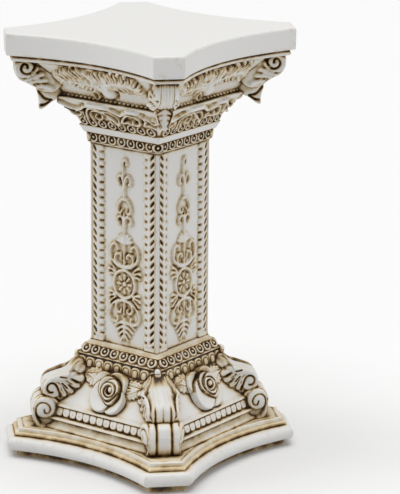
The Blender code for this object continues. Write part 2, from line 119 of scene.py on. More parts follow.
CAPITAL = hollowed(
    0, (220.8, 28.4, 0.9), (221.4, 29.6, 0.9), (222, 30.6, 0.9), (222.6, 30.9, 0.9), (223, 30.2, 0.9),
    (228.8, 30.8, 0.9), (229.1, 32.2, 0.9), (229.5, 32.8, 0.9), (234.2, 35, 0.9), (234.6, 34.6, 0.9),
    (235, 33.6, 0.9), (240.6, 36.8, 1), (241.2, 37.6, 1), (247.6, 40.8, 1), (252.4, 45.2, 1), (253.1, 46.8, 1),
    (253.6, 47.4, 1), (254.8, 47.5, 1), (255.2, 46.6, 1), (255.5, 44.6, 1),
) + (
    (257.6, 45, 2, 0.4), (262, 48.2, 5, 2.2), (268, 51.6, 9, 2.4), (274, 57, 13, 2.4), (279.4, 62.4, 15, 2.8),
    (280.5, 62.5, 15, 3.2),
) + hollowed(
    12.6, (280.8, 73.4, 13.6), (281.4, 74.4, 13.8), (282.8, 74.5, 13.8), (283.2, 74.2, 13.6), (283.5, 73.8, 13.4),
    (286, 73.6, 13.4),
)
SLAB = hollowed(
    12.6, (284.6, 75.6, 13.6), (284.9, 76.6, 14.2), (285.5, 77.1, 14.6), (292, 77.2, 14.6), (298.6, 77.2, 14.6),
    (299.4, 76.9, 14.5), (299.85, 76.3, 14.2), (300, 75.6, 13.9), (300, 74.9, 13.7), (300, 73.6, 13.4),
)

# The part of the base that slopes under the roses, and the half side and corner cut of the shaft
BASE_SLOPE = BASE[19], BASE[21]
SHAFT_HALF, SHAFT_CUT = SHAFT[2][1:3]

# Sunk panel of the shaft: where its columns end, and its depth
PANEL_EDGE = 17.2
PANEL_DEPTH = 1.3

# Leaf border beside it: pitch, first and last height; then how far the panel's ornament stands off the middle
BORDER_PITCH = 5.4
BORDER_LOW = 83.5
BORDER_HIGH = 221.0
ORNAMENT_SHIFT = 0.6

# Ornament of the panel: centre lines of its strokes (across, up; mm). All but the stems are mirrored
STEMS = (
    ((0, 137), (0, 150), (-0.2, 160), (0, 176)),
    ((0, 185), (-0.4, 193), (-1, 203), (-1.1, 210), (-0.4, 213), (1.2, 213.3), (2, 211.2)),
    ((0, 104), (0, 115)),
)
STEM_END = (1.6, 209.8, 1.2)
SCROLLS = (
    ((0.3, 194.5), (1, 199), (2.6, 201.9), (4.8, 201), (5.6, 198.3), (4.8, 196.2), (4, 196.2)),
    ((0, 186), (2.6, 184.9), (4.9, 182), (5.6, 179), (4.8, 176.3), (2.9, 175.7), (1.9, 177.4)),
    ((0.4, 167), (1, 171.5), (2.8, 173.5), (5.2, 172.3), (6, 169.6), (5.2, 168), (4.4, 168.6)),
    ((0.6, 137), (5.5, 137.9), (10, 141.4), (12, 146), (11.4, 150.6), (9, 153.1), (6.5, 151.9), (5.8, 149.9)),
    ((1.4, 138.2), (6.2, 139.4), (8, 142.4), (7.3, 145.4), (4.9, 146.8), (2.7, 145.8), (2.4, 144)),
    ((0.8, 114), (6.8, 112.2), (11.4, 107.8), (13.2, 102.8), (11.6, 98.6), (7.8, 97), (5.6, 98.6), (5.8, 100.4)),
    ((0.9, 113.4), (5.4, 111.9), (7.4, 108.2), (5.6, 104.8), (2.9, 104.9), (2.6, 106.4)),
)
SCROLL_BALLS = (
    (4.2, 196.6, 1.1), (1.9, 177.8, 1.2), (4.6, 168.9, 1.1), (5.7, 149.5, 1.4), (2.5, 143.8, 1.2),
    (5.9, 100.8, 1.5), (2.6, 106.8, 1.2),
)
TUFTS = (
    ((7.4, 133.8), (9.8, 136.8), (12.8, 138.4)),
    ((8.2, 132.8), (11.2, 134.6), (14, 134.4)),
    ((8.8, 131.4), (11.2, 131.6), (13.2, 130.6)),
    ((7.6, 117), (10.6, 118.4), (13.2, 118.6)),
    ((8, 116.2), (11.2, 115.8), (13.8, 114.2)),
    ((7.4, 115.2), (10.4, 113), (12.6, 110.8)),
)
# Ring with a rosette: height of its centre, half width, half height, half thickness; petals of the rosette
MEDALLION = (125.2, 9.2, 9.9, 1.35)
PETALS = 8
FAN = 7

# Scroll frieze of the capital: centre line of each stroke (across, up), half width, rise (mm)
FRIEZE = (
    (((-44, 251.6), (-38.5, 249.4), (-33, 247.8), (-27, 248.4), (-22, 251), (-16, 252.6), (-9, 252.6), (-2, 252.4),
     (4, 250.4), (8, 248.6), (12, 250.6), (17, 252.6), (24, 252.8), (28, 250), (28.8, 246.6),
     (27.2, 244.4)), 1.2, 2),
    (((-22.4, 241), (-21.6, 247), (-17.6, 250.6), (-11.8, 251), (-6.4, 248.4), (-1, 244.4), (4.6, 240.4)), 1.2, 2.1),
    (((-17.8, 241.4), (-19, 245.4), (-16.4, 248.6), (-11.6, 249.2), (-8.6, 246.8), (-9.6, 243.2), (-12.8, 242.2),
     (-14.8, 244), (-13.2, 246.2)), 0.95, 1.9),
    (((-6.2, 249.8), (-0.4, 249.2), (3.4, 246.6), (5.2, 243.4), (3.4, 241), (-0.4, 240.6), (-2.8, 242.2),
     (-1.4, 244.8)), 0.95, 1.9),
    (((7.4, 243), (9.6, 246.2), (13.2, 249.4), (18, 250.4), (22.4, 248.6), (23.8, 245.4), (21.6, 242.8),
     (17.8, 243.2), (17.6, 245.4)), 1.2, 2.1),
    (((8, 242.4), (12.4, 243.4), (16.6, 242.6)), 1.1, 1.8),
    (((-43, 248.6), (-38, 246.8), (-34.6, 243.6), (-30.4, 242.8), (-26.8, 244.8), (-28, 247), (-31, 246.4)), 1.1, 2),
    (((-25.6, 246.6), (-24.4, 243.2), (-25.8, 240.8)), 1.1, 1.8),
    (((30, 249.6), (33.6, 246.4), (36.4, 245.6), (38, 247.6), (36, 249.4)), 1.1, 1.8),
    (((28.8, 243.6), (32.4, 243.4), (35.6, 242.2)), 1.1, 1.8),
)
FRIEZE_BALLS = ((-13.4, 246, 1.1), (-1.2, 245.2, 1.1), (17.6, 245.6, 1.2), (-30.6, 246.4, 1.1), (35.8, 249.2, 1.1))

# Winged sprays: rib of each wing, and the two lines where its feathers end (across, up; mm)
WINGS = (
    (((-3, 268), (-12, 269), (-22, 269.2), (-31, 269), (-37, 269.4)), ((-5, 276.4), (-10.5, 279), (-17, 280.2),
     (-24.6, 279.2), (-31, 277), (-36, 273.4), (-39, 269.4)), ((-8, 264.4), (-15, 264), (-22, 264.4), (-29, 265.6),
     (-35.5, 266.6), (-39.2, 268.6))),
    (((3, 270), (10, 272.4), (18, 273.6), (26, 273.4), (31, 271.4), (33.6, 268.6)), ((3.6, 278), (8.4, 279),
     (14.4, 280.6), (20.8, 280.8), (27.2, 280.6), (32.4, 279.8), (35.6, 275.8), (36.2, 270.8), (34.8, 266.6)),
     ((9, 268.2), (15, 266.8), (21.2, 266.6), (27, 266.6), (32.2, 265.8), (34.8, 265.6))),
)
# Feathers on either side of a rib. Shell between the wings: centre across and up, half width, half height
FEATHERS = (16, 10)
SHELL = (2.4, 263.2, 6.2, 4.4)

# Rows on each face: number, pitch, height of the row and reach out from the axis (mm), lean (radians)
BEAD_ROWS = ((8, 8.3, 238, 35.6, -0.52), (7, 8.1, 226.2, 30.7, -0.1), (8, 8.25, 74.7, 33.9, 0.66))
TONGUE_ROW = (9, 8, 64.6, 36, 0.22)
TAB_ROW = (15, 6, 31.9, 54.6, 0.32)
PEARL_ROW = (22, 3.7, 256.3, 44.8, -0.3)

# Level bands of settled wash and painted shade: height and reach in millimetres, strength. The band at the foot is
# painted shadow under the plinth, the band on the tongues is painted shade under the ring band; the others are wash
# settled on ledges
SHADE_AND_STAIN_BANDS = (
    (1.8, 2.2, 0.55), (19.4, 2.6, 0.08), (64.4, 2.8, 0.24), (79.6, 2.8, 0.13), (221.6, 1.8, 0.12), (256.4, 2, 0.12),
)

# Corners, in the plane of the diagonal (out, up; mm): the big scroll on the plinth with its tail
SCROLL = (75.5, 34.8, 7.9)
SCROLL_CENTRE = (75.6, 33)
SCROLL_OUTLINE = (
    (83.7, 34.2), (81.4, 40), (76.2, 42.7), (70, 41.8), (65.4, 38), (63, 30), (65, 22), (71, 18.8), (77.4, 18.4),
    (81.3, 20.9), (83.3, 26.2),
)
SCROLL_GROOVE = (
    (77.6, 21.6), (80.2, 26.6), (81.2, 31.8), (80.4, 35.8), (77.6, 38.4), (73.8, 38), (71.4, 34.8), (72.4, 31.4),
    (74.8, 31), (75.6, 33.6),
)
SCROLL_TAIL = ((75.4, 18.6), (79.6, 21), (82.2, 26), (82.6, 31), (81.6, 36))

# The leaf that folds over it into a small scroll
LEAF_SCROLL = (69.8, 47.3)
LEAF_CENTRE = (62.5, 50.5)
LEAF_OUTLINE = (
    (76.3, 46.5), (75.6, 51.2), (72.8, 54.9), (67.5, 57.2), (60.4, 59.3), (55.8, 61.9), (52.6, 65.4), (49.4, 67.6),
    (45, 66.6), (41, 60), (40.5, 53), (45, 45), (53, 41), (60, 39.2), (65, 38.4), (69.6, 38.2), (73.4, 38.9),
    (75.9, 41.8),
)
LEAF_SPINE = ((50, 66), (53.6, 61.2), (59.6, 57.2), (66.4, 54.8), (71.2, 52.2), (73.6, 48))
LEAF_GROOVE = (
    (64, 41), (65, 45.6), (66.2, 48.9), (67.8, 51.2), (70.5, 51.9), (72.7, 50.3), (73.2, 47.5), (71.6, 45.2),
    (69.5, 45.1),
)
LEAF_FINGERS = (
    ((67.4, 52.2), (64.6, 49.4), (62.6, 46), (61.4, 43.4)),
    ((64.6, 53.4), (60.8, 50.6), (58.4, 47.4), (56.4, 46)),
    ((61.4, 54.6), (57.4, 52.8), (54, 50.6), (52, 50.4)),
    ((58.6, 56.6), (54.2, 56.2), (50.6, 55.2), (48.4, 56.2)),
    ((55, 59.6), (51.8, 60.4), (49, 60.8), (46.6, 62.2)),
    ((52.6, 63), (50, 64.6), (47.4, 66)),
)
LEAF_SLITS = (
    ((63.8, 56.4), (59.7, 56)),
    ((57.6, 60.6), (54.6, 60.4), (51, 58.6)),
    ((54, 65.4), (51, 65.8)),
    ((62.6, 51.6), (59.6, 48.4)),
    ((59.6, 53.6), (56.4, 51.2)),
    ((56.2, 55.4), (52.6, 53.4)),
)

# The scroll under the slab with its fingers, then the leaf that hangs below it with its folds
HORN_CENTRE = (84, 273.5)
HORN_OUTLINE = (
    (93.3, 274.5), (93.2, 278.6), (91.6, 281.2), (84, 281.6), (74, 281.4), (66, 279), (60, 272), (61, 264),
    (66, 259), (74, 258.6), (79.5, 261.6), (84.6, 264.4), (89.6, 266.9), (92.4, 270.8),
)
HORN_GROOVE = (
    (78.6, 277.6), (80.2, 274.4), (81.9, 272), (84.8, 271.2), (87.7, 272.6), (88.5, 275.6), (86.8, 278.1),
    (84.6, 277.6), (84.2, 275.7),
)
HORN_SCROLL = (86.2, 274.8)
HORN_FINGERS = (
    ((84, 269.2), (81, 271.6), (78.1, 275)),
    ((84.9, 266.8), (79.4, 268.8), (74.2, 271.2)),
    ((82.2, 265.4), (77, 266.4), (72, 267)),
    ((78, 262.8), (72.8, 262.8), (68.4, 261.8)),
)
DROP_CENTRE = (69.5, 257)
DROP_OUTLINE = (
    (77.6, 257.6), (78.4, 261.2), (80.6, 264.6), (72, 267), (62, 265), (56, 261), (56, 256), (62.5, 253),
    (67.6, 250.9), (70.8, 248.3), (74.2, 246), (76.3, 246), (76.2, 250), (76.6, 254),
)
DROP_FOLDS = (
    ((78.4, 260.4), (75.4, 257), (72.6, 253.8), (68, 252.4)),
    ((75.8, 248.6), (72, 249.6), (68.6, 251.8)),
    ((74.4, 263.4), (70.4, 261), (66, 260.4)),
)


def smooth_path(points, steps=6):
    """Points along a smooth line through the given ones."""
    knots = np.asarray(points, float)
    knots = np.vstack([2 * knots[0] - knots[1], knots, 2 * knots[-1] - knots[-2]])
    t = np.linspace(0, 1, steps, endpoint=False)[:, None]
    runs = []
    for a, b, c, d in zip(knots, knots[1:], knots[2:], knots[3:]):
        runs.append(0.5 * (2 * b + (c - a) * t + (2 * a - 5 * b + 4 * c - d) * t**2 + (3 * b - a - 3 * c + d) * t**3))
    return np.vstack(runs + [knots[-2:-1]])


def swell(x):
    """Round section: 1 in the middle, 0 at a distance of 1."""
    return np.sqrt(np.clip(1 - x * x, 0, 1))


def bell(x):
    """Soft bump: 1 in the middle, near 0 from a distance of 2."""
    return np.exp(-x * x)


def ramp(x, low, high):
    """Smooth step from 0 at low to 1 at high."""
    t = np.clip((x - low) / (high - low), 0, 1)
    return t * t * (3 - 2 * t)


class Relief:
    """Carved heights over the flat map of a wall, in millimetres."""

    def __init__(self, across, up):
        self.across, self.up = across, up
        self.height = np.zeros_like(across)

    def near(self, path, reach):
        low, high = path.min(axis=0) - reach, path.max(axis=0) + reach
        inside = (self.across > low[0]) & (self.across < high[0]) & (self.up > low[1]) & (self.up < high[1])
        return np.nonzero(inside)

    def gap(self, path, spots):
        """Distance to a path, and how far along it, for some of the map's points."""
        here = np.stack([self.across[spots], self.up[spots]], 1)
        run = np.diff(path, axis=0)
        share = np.clip(((here[:, None] - path[:-1]) * run).sum(2) / (run**2).sum(1), 0, 1)
        away = np.linalg.norm(here[:, None] - path[:-1] - share[..., None] * run, axis=2)
        best = away.argmin(axis=1)
        rows = np.arange(len(best))
        return away[rows, best], (best + share[rows, best]) / len(run)

    def stroke(self, points, width, rise, taper=1.0):
        path = smooth_path(points)
        spots = self.near(path, width)
        if len(spots[0]):
            away, along = self.gap(path, spots)
            reach = width * (1 + (taper - 1) * along)
            self.height[spots] = np.maximum(self.height[spots], rise * swell(away / reach))

    def groove(self, points, width, depth):
        path = smooth_path(points)
        spots = self.near(path, 2 * width)
        if len(spots[0]):
            self.height[spots] -= depth * bell(self.gap(path, spots)[0] / width)

    def ball(self, x, y, radius, rise):
        away = np.hypot(self.across - x, self.up - y) / radius
        self.height = np.where(away < 1, np.maximum(self.height, rise * swell(away)), self.height)

    def pit(self, x, y, radius, depth):
        self.height -= depth * bell(np.hypot(self.across - x, self.up - y) / radius)

    def fan(self, root, wide, tall, spread, lean, rise, taper):
        """Strokes that open out upwards from a root, a spread of degrees apart."""
        for i in range(FAN):
            angle = math.radians(spread * (i - FAN // 2) + lean)
            tip = (root[0] + wide * math.sin(angle), root[1] + tall * math.cos(angle))
            self.stroke((root, tip), 0.9, rise, taper)

    def coil(self, centre, turns, rise, width, depth, eye, top):
        """A raised disc with a spiral groove in it and a round eye."""
        away = np.hypot(self.across - centre[0], self.up - centre[1])
        self.height = np.maximum(self.height, rise * (1 - ramp(away, 5.8, 6.8)))
        self.groove(turns, width, depth)
        self.ball(*centre, eye, top)


class Shape:
    """Collects closed shells, in millimetres, and makes one mesh of them."""

    def __init__(self):
        self.shells = []

    def skin(self, rings):
        """A shell over closed rings of points, each as long as the next, with both ends capped."""
        rings = np.asarray(rings, float)
        rows, cols = rings.shape[:2]
        index = np.arange(rows * cols).reshape(rows, cols)
        low, high = index[:-1], index[1:]
        quads = np.stack([low, np.roll(low, -1, 1), np.roll(high, -1, 1), high], -1).reshape(-1, 4)
        points = rings.reshape(-1, 3)
        a, b, c, d = (points[quads[:, i]] for i in range(4))
        volume = np.einsum("ij,ij->", a, np.cross(b, c)) + np.einsum("ij,ij->", a, np.cross(c, d))
        for ring, way in ((rings[0], -1), (rings[-1], 1)):
            hub = ring.mean(axis=0)
            volume += way * np.einsum("j,ij->", hub, np.cross(ring, np.roll(ring, -1, 0)))
        caps = [index[0, ::-1], index[-1]]
        if volume < 0:
            quads, caps = quads[:, ::-1], [cap[::-1] for cap in caps]
        self.shells.append((points, quads, caps))
        return self

    def turned(self, angles):
        """Copies all shells to each of these angles round the column."""
        shells, self.shells = self.shells, []
        for angle in angles:
            cos, sin = math.cos(angle), math.sin(angle)
            turn = np.array(((cos, sin, 0), (-sin, cos, 0), (0, 0, 1)))
            self.shells += [(points @ turn, quads, caps) for points, quads, caps in shells]
        return self

    def placed(self, matrix, offset):
        """Moves all shells: columns of the matrix are the new directions of X, Y and Z."""
        self.shells = [(points @ np.asarray(matrix, float).T + offset, q, c) for points, q, c in self.shells]
        return self

    def mesh(self, name):
        points, faces, count = [], [], 0
        for shell, quads, caps in self.shells:
            points.append(shell)
            faces += (quads + count).tolist()
            faces += [(cap + count).tolist() for cap in caps]
            count += len(shell)
        mesh = bpy.data.meshes.new(name)
        mesh.from_pydata((np.vstack(points) * MM).tolist(), [], faces)
        mesh.validate()
        return mesh


def wall_rows(steps, spacing):
    """Sections of a wall, none further than spacing from the next."""
    rows = [steps[0]]
    for low, high in zip(steps, steps[1:]):
        length = math.hypot(high[0] - low[0], high[1] - low[1])
        count = max(1, math.ceil(length / spacing))
        for i in range(1, count + 1):
            rows.append(tuple(a + (b - a) * i / count for a, b in zip(low, high)))
    return np.array(rows)


def wall(steps, spacing, columns, cut, carve=None):
    """Rings of a square wall with cut corners and hollow sides. Carve gives heights over one side's map."""
    height, half, clip, sag = (column[:, None] for column in wall_rows(steps, spacing).T)
    reach = half - clip
    face = np.stack(np.broadcast_arrays(columns * reach, sag * (1 - columns**2) - half, height), -1)
    turn = (np.arange(cut) + 1) / (cut + 1)
    corner = np.stack(np.broadcast_arrays(reach + clip * turn, -half + clip * turn, height), -1)
    x, y, z = np.moveaxis(np.concatenate([face, corner], axis=1), -1, 0)
    rings = []
    for side in range(SIDES):
        cos, sin = math.cos(side * QUARTER), math.sin(side * QUARTER)
        rings.append(np.stack([x * cos - y * sin, x * sin + y * cos, z], -1))
    rings = np.concatenate(rings, axis=1)
    if carve is None:
        return rings
    heights = np.concatenate([carve(face[..., 0], face[..., 2]), np.zeros(corner.shape[:2])], axis=1)
    out = np.cross(np.roll(rings, -1, 1) - np.roll(rings, 1, 1), np.gradient(rings, axis=0))
    out /= np.maximum(np.linalg.norm(out, axis=2, keepdims=True), TINY)
    return rings + out * np.tile(heights, (1, SIDES))[..., None]


def tube(shape, points, radii, sides=12):
    """A rib with a round section along a line in space."""
    path = smooth_path(points, 5)
    share = np.linspace(0, 1, len(path))
    radius = np.interp(share, np.linspace(0, 1, len(radii)), radii)[:, None, None]
    along = np.gradient(path, axis=0)
    along /= np.linalg.norm(along, axis=1, keepdims=True)
    side = np.cross(along, (0, 0, 1))
    side /= np.linalg.norm(side, axis=1, keepdims=True)
    lift = np.cross(side, along)
    angle = np.arange(sides)[None, :, None] * 2 * math.pi / sides
    shape.skin(path[:, None] + radius * (np.cos(angle) * side[:, None] + np.sin(angle) * lift[:, None]))


def plate(shape, centre, outline, cheek, rim, steps, least=0.0):
    """A carved block seen from both cheeks: an outline round a centre, in the plane of the diagonal."""
    rows, across, sectors = steps
    loop = smooth_path(outline + outline[:1]) - centre
    theta = np.arange(sectors) * 2 * math.pi / sectors
    reach = np.interp(theta, np.arctan2(loop[:, 1], loop[:, 0]), np.hypot(loop[:, 0], loop[:, 1]), period=2 * math.pi)
    share = np.linspace(0.02, 0.985, rows)[:, None]
    r, z = centre[0] + share * reach * np.cos(theta), centre[1] + share * reach * np.sin(theta)
    thick = cheek(r, z) - 0.7 * ramp(share, 0.92, 1.0)
    lanes = np.linspace(-1, 1, across)[:, None]
    width = lanes * np.maximum(thick[-1] - 0.3, least)
    edge = reach + rim(width, theta) - 0.6 * np.abs(lanes) ** 10
    shape.skin(np.stack([
        np.concatenate([r, centre[0] + edge * np.cos(theta), r[::-1]]),
        np.concatenate([-thick, width, thick[::-1]]),
        np.concatenate([z, centre[1] + edge * np.sin(theta), z[::-1]]),
    ], -1))


def pad(name, size, rise, sides, rows, square=2.0, back=1.0):
    """A boss with a flat back: size is its half width and half height, rise its height over (x, y, share)."""
    angle = np.arange(sides) * 2 * math.pi / sides
    cos, sin = np.cos(angle), np.sin(angle)
    edge = (np.abs(cos) ** square + np.abs(sin) ** square) ** (-1 / square)
    share = np.linspace(0.04, 1, rows)[:, None]
    x, y = share * edge * cos * size[0], share * edge * sin * size[1]
    top = np.stack([x, y, rise(x, y, share + 0 * x)], -1)
    floor = top[-1:].copy()
    floor[..., 2] = -back
    return Shape().skin(np.concatenate([floor, top[::-1]], axis=0)).mesh(name)


def all_round(build, first=0.0, place=None):
    """The shape that build makes at one side, or half a side on at a corner, copied to all four."""
    shape = Shape()
    build(shape)
    if place:
        shape.placed(*place)
    return shape.turned([(side + first) * QUARTER for side in range(SIDES)])


def finish_mesh(name, mesh, smooth=50):
    """Makes a finished piece of a mesh: shading, body, slot, and the solid that it stands for."""
    mesh.shade_smooth()
    mesh.set_sharp_from_angle(angle=math.radians(smooth))
    piece = bpy.data.objects.new(name, mesh)
    bpy.context.scene.collection.objects.link(piece)
    mesh.materials.clear()
    mesh.materials.append(resin())
    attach(piece, "root")
    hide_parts(NODE)


def finish_shape(name, shape, smooth=50):
    finish_mesh(name, shape.mesh(name), smooth)


def add_node(tree, kind, inputs=(), **settings):
    """Adds a node. Its inputs are values, outputs of other nodes, or nodes, which give their first output."""
    node = tree.nodes.new(kind)
    for name, value in settings.items():
        setattr(node, name, value)
    for name, value in dict(inputs).items():
        if isinstance(value, bpy.types.Node):
            value = value.outputs[0]
        if isinstance(value, bpy.types.NodeSocket):
            tree.links.new(value, node.inputs[name])
        else:
            node.inputs[name].default_value = value
    return node


def resin():
    """The aged resin, made once: white body, warm high edges with a painted highlight and faint chips, brown wash
    with painted shade in the hollows.
    """
    made = bpy.data.materials.get(SLOT + "_look")
    if made:
        return made
    look = bpy.context.scene.column_finish
    made = bpy.data.materials.new(SLOT + "_look")
    made.use_nodes = True
    tree = made.node_tree
    shader = tree.nodes["Principled BSDF"]
    shader.inputs["Roughness"].default_value = look.roughness
    shader.inputs["Specular IOR Level"].default_value = look.shine
    where = add_node(tree, "ShaderNodeTexCoord").outputs["Object"]

    def noise(scale, detail):
        return add_node(tree, "ShaderNodeTexNoise", {"Vector": where, "Scale": scale, "Detail": detail})

    def attribute(name):
        return add_node(tree, "ShaderNodeAttribute", attribute_name=name).outputs["Fac"]

    def maths(operation, *values, use_clamp=False):
        return add_node(tree, "ShaderNodeMath", enumerate(values), operation=operation, use_clamp=use_clamp)

    def blend(mode, share, a, b):
        return add_node(tree, "ShaderNodeMix", {0: share, 6: a, 7: b}, data_type="RGBA", blend_type=mode).outputs[2]

    uneven = maths("MULTIPLY_ADD", noise(look.patch_scale, 5), 2.2, -0.08)
    # Colour ramp of the wash mask: tan and brown wash in the hollows, darkening to near black as painted shade in the
    # deep gaps and under overhangs
    stain_and_shade = add_node(tree, "ShaderNodeValToRGB", {"Fac": maths("MULTIPLY", attribute(WASH_AND_SHADE), uneven)})
    stain_and_shade.color_ramp.interpolation = "EASE"
    stops = stain_and_shade.color_ramp.elements
    stops[0].color, stops[1].color = (1, 1, 1, 1), look.deep
    for position, colour in ((0.10, (0.97, 0.94, 0.88, 1)), (0.31, look.light_wash), (0.56, look.wash_and_shade),
                             (0.82, look.dark_wash_and_shade)):
        stops.new(position).color = colour
    spots = maths("MULTIPLY", maths("SUBTRACT", noise(look.chip_scale, 4), 0.56), 12.0, use_clamp=True)
    # Lighter warm tone on the high edges: part cream tone, part painted highlight
    body = blend("MIX", attribute(CREST_AND_HIGHLIGHT), look.body, look.crest_and_highlight)
    body = blend("MIX", maths("MULTIPLY", attribute(CHIP), spots), body, look.chip)
    tree.links.new(blend("MULTIPLY", 1.0, body, stain_and_shade), shader.inputs["Base Color"])
    bump = add_node(tree, "ShaderNodeBump", {
        "Strength": look.grain, "Distance": GRAIN_DEPTH, "Height": noise(GRAIN_SCALE, 3)})
    tree.links.new(bump.outputs["Normal"], shader.inputs["Normal"])
    return made


def border_heights(across, up):
    """Toothed leaf border between the arris and the panel."""
    inward = SHAFT_HALF - np.abs(across)
    within = ramp(up, BORDER_LOW, BORDER_LOW + 1) * (1 - ramp(up, BORDER_HIGH - 1, BORDER_HIGH))

    def phase(shift):
        return ((up - BORDER_LOW + shift) / BORDER_PITCH) % 1

    def from_tooth(share):
        return np.minimum(share, 1 - share) * BORDER_PITCH

    slant = phase(1.05 * (inward - 4.4))
    level = phase(2.4)
    lobe = 0.5 * np.sqrt(np.sin(math.pi * slant)) * ramp(inward, 3.0, 4.0) * (1 - ramp(inward, 10.2, 11.4))
    slot = 2.2 * bell(from_tooth(slant) / 1.05) * ramp(inward, 2.9, 3.6) * (1 - ramp(inward, 5.4, 6.4))
    notch = 1.8 * bell(from_tooth(level) / 0.88) * ramp(inward, 8.2, 9.4)
    arris = 0.55 * bell((inward - 2.25) / 0.34)
    edge = 11.5 + 0.5 * np.abs(np.sin(math.pi * level))
    panel = ramp(inward - edge, -0.35, 0.35)
    heights = (lobe - slot - notch) * within - arris
    return heights * (1 - panel) - PANEL_DEPTH * panel, panel


def panel_carving(across, up):
    """Raised ornament of a shaft panel."""
    carving = Relief(across - ORNAMENT_SHIFT, up)
    for line in STEMS:
        carving.stroke(line, 1.15, 1.9)
    carving.ball(*STEM_END, 1.9)
    for side in (-1, 1):
        for line in SCROLLS:
            carving.stroke([(side * x, y) for x, y in line], 1.2, 2.1, 0.9)
        for x, y, radius in SCROLL_BALLS:
            carving.ball(side * x, y, radius, 2.0)
        for line in TUFTS:
            carving.stroke([(side * x, y) for x, y in line], 0.9, 1.8, 1.3)
        for i in range(4):
            root = 97.5 - 3.2 * i
            tip = ((8.6 - 1.9 * i) * side, root - 3.4)
            carving.stroke(((0.6 * side, root), (0.5 * tip[0], root - 0.6), tip), 1.5, 1.5, 0.75)
    carving.stroke(((0, 100), (0, 92), (0, 84.6)), 1.5, 1.8, 0.5)
    carving.fan((0, 154.0), 6.4, 6.6, 24, 0, 1.5, 1.6)
    centre, wide, tall, thick = MEDALLION
    ring = [(wide * math.cos(a), centre + tall * math.sin(a)) for a in np.linspace(0, 2 * math.pi, 33)]
    carving.stroke(ring, thick, 2.0)
    for i in range(PETALS):
        angle = 2 * math.pi * i / PETALS
        x, y = math.cos(angle), math.sin(angle)
        carving.stroke(((3.2 * x, centre + 3.4 * y), (6.2 * x, centre + 6.6 * y)), 1.15, 1.5)
    carving.ball(0, centre, 2.1, 1.9)
    carving.pit(0, centre, 0.8, 0.9)
    return carving.height


def shaft_carving(across, up):
    """The leaf borders, and the ornament in the panel between them."""
    heights, panel = border_heights(across, up)
    return heights + panel * panel_carving(across, up)


def wing_carving(carving, rib, tips, lower):
    """A raised spray: feathers from a rib to two lines of tips, with drilled holes between them."""
    rib, tips, lower = smooth_path(rib), smooth_path(tips), smooth_path(lower)
    carving.stroke(rib, 6.4, 2.0, 0.75)
    for ends, number, rise, hole in ((tips, FEATHERS[0], 2.9, 1.8), (lower, FEATHERS[1], 2.7, 0.6)):
        for i in range(number):
            share = (i + 0.5) / number
            root = rib[int(share * 0.9 * (len(rib) - 1))]
            tip = root + (ends[int(share * (len(ends) - 1))] - root) * (1 - 0.16 * (i % 2))
            middle = 0.5 * (root + tip) + 0.12 * (tip - root)[::-1] * (1, -1)
            carving.stroke((root, middle, tip), 0.95 + 0.2 * (i % 2), rise + 0.3 * (i % 3 - 1), 1.2)
            if i % 2 and i < number - 1:
                side = (tip - root)[::-1] * (1, -1) / np.linalg.norm(tip - root)
                carving.pit(*(root + 0.42 * (tip - root) + side * 1.5), 0.62, hole)
    carving.stroke(rib, 1.3, 3.2, 0.6)


def capital_carving(across, up):
    """The scroll frieze, and above it the winged sprays with the shell between them."""
    carving = Relief(across, up)
    for line, width, rise in FRIEZE:
        carving.stroke(line, width, 1.35 * rise)
    for x, y, radius in FRIEZE_BALLS:
        carving.ball(x, y, radius, 2.6)
    for wing in WINGS:
        wing_carving(carving, *wing)
    x0, y0, wide, tall = SHELL
    carving.fan((x0 - 1, y0 + 3), 11.5, 12.6, 20, -6, 2.5, 1.7)
    away = np.hypot((across - x0) / wide, (up - y0) / tall)
    scallop = 1 + 0.06 * np.abs(np.sin(3.5 * np.arctan2(up - y0, across - x0)))
    carving.height = np.where(away < scallop, np.maximum(carving.height, 3.4 * swell(away / scallop)), carving.height)
    loop = [(-8.4 + 1.8 * math.cos(a) - 1.7 * math.sin(a), 261.0 + 1.4 * math.cos(a) + 2.6 * math.sin(a))
            for a in np.linspace(0, 2 * math.pi, 17)]
    carving.stroke(loop, 0.85, 3.0)
    carving.groove(((8.6, 266.6), (9.8, 263.2), (8.4, 259.8)), 0.5, 1.2)
    return carving.height


# Rose, outer petals first: centre across and up, half width, half height, rise of the lip, slope inwards, point
ROSE_PETALS = (
    (-6, 5.4, 8.2, 8.2, 3.2, 0.16, 0), (5.9, 5.6, 8.6, 9.2, 4.4, 0.26, 0), (6.6, -4.6, 8.8, 10.4, 4.2, 0.1, 0),
    (-2.6, -3.6, 9.6, 11.6, 5, 0.12, 0), (3.2, 1, 8.9, 10, 6.6, 0.5, 0.8), (5.4, 2.6, 6, 6.6, 7.3, 0.45, 0),
    (3.3, 0.1, 5.9, 6.2, 7.6, 0.42, 0.4),
)
ROSE_OUTER = 4
# How high up the rose lies and how far it stands out; half width of its leaves and their rise (mm)
ROSE_HEIGHT = 50.5
ROSE_OUT = 0.6
LEAF_HALF = 7.6
LEAF_RISE = 1.6


def rose_carving(x, y):
    """Petals laid one over the other, and a bud in the hollow between the inmost."""
    height = np.full(x.shape, -3.0)
    for cx, cy, wide, tall, rise, slope, point in ROSE_PETALS:
        up = y - cy
        across = (x - cx + 0.3 * point * up) * (1 + point * np.clip(-up / tall, 0, 1) ** 2)
        away = np.hypot(across / wide, up / tall)
        inside = (1 - away) * min(wide, tall)
        lip = rise - 0.9 * np.clip(1 - inside / 1.1, 0, 1) ** 2 - slope * inside
        height = np.where(away < 1, lip, height - bell(inside / 0.5))
    from_hollow = np.hypot(x - 3.6, y - 1.0)
    fold = 3.0 + 2.8 * (((np.arctan2(y - 1.0, x - 3.6) - 0.9) / (2 * math.pi)) % 1)
    height -= 1.6 * bell((from_hollow - fold) / 0.45) * (from_hollow < 6.0)
    height -= 4.2 * (1 - ramp(from_hollow, 2.2, 3.4))
    bud = swell(np.hypot(x - 4.6, y - 2.0) / 3.1)
    return np.where(bud > 0, np.maximum(height, 2.2 + 4.9 * bud), height)


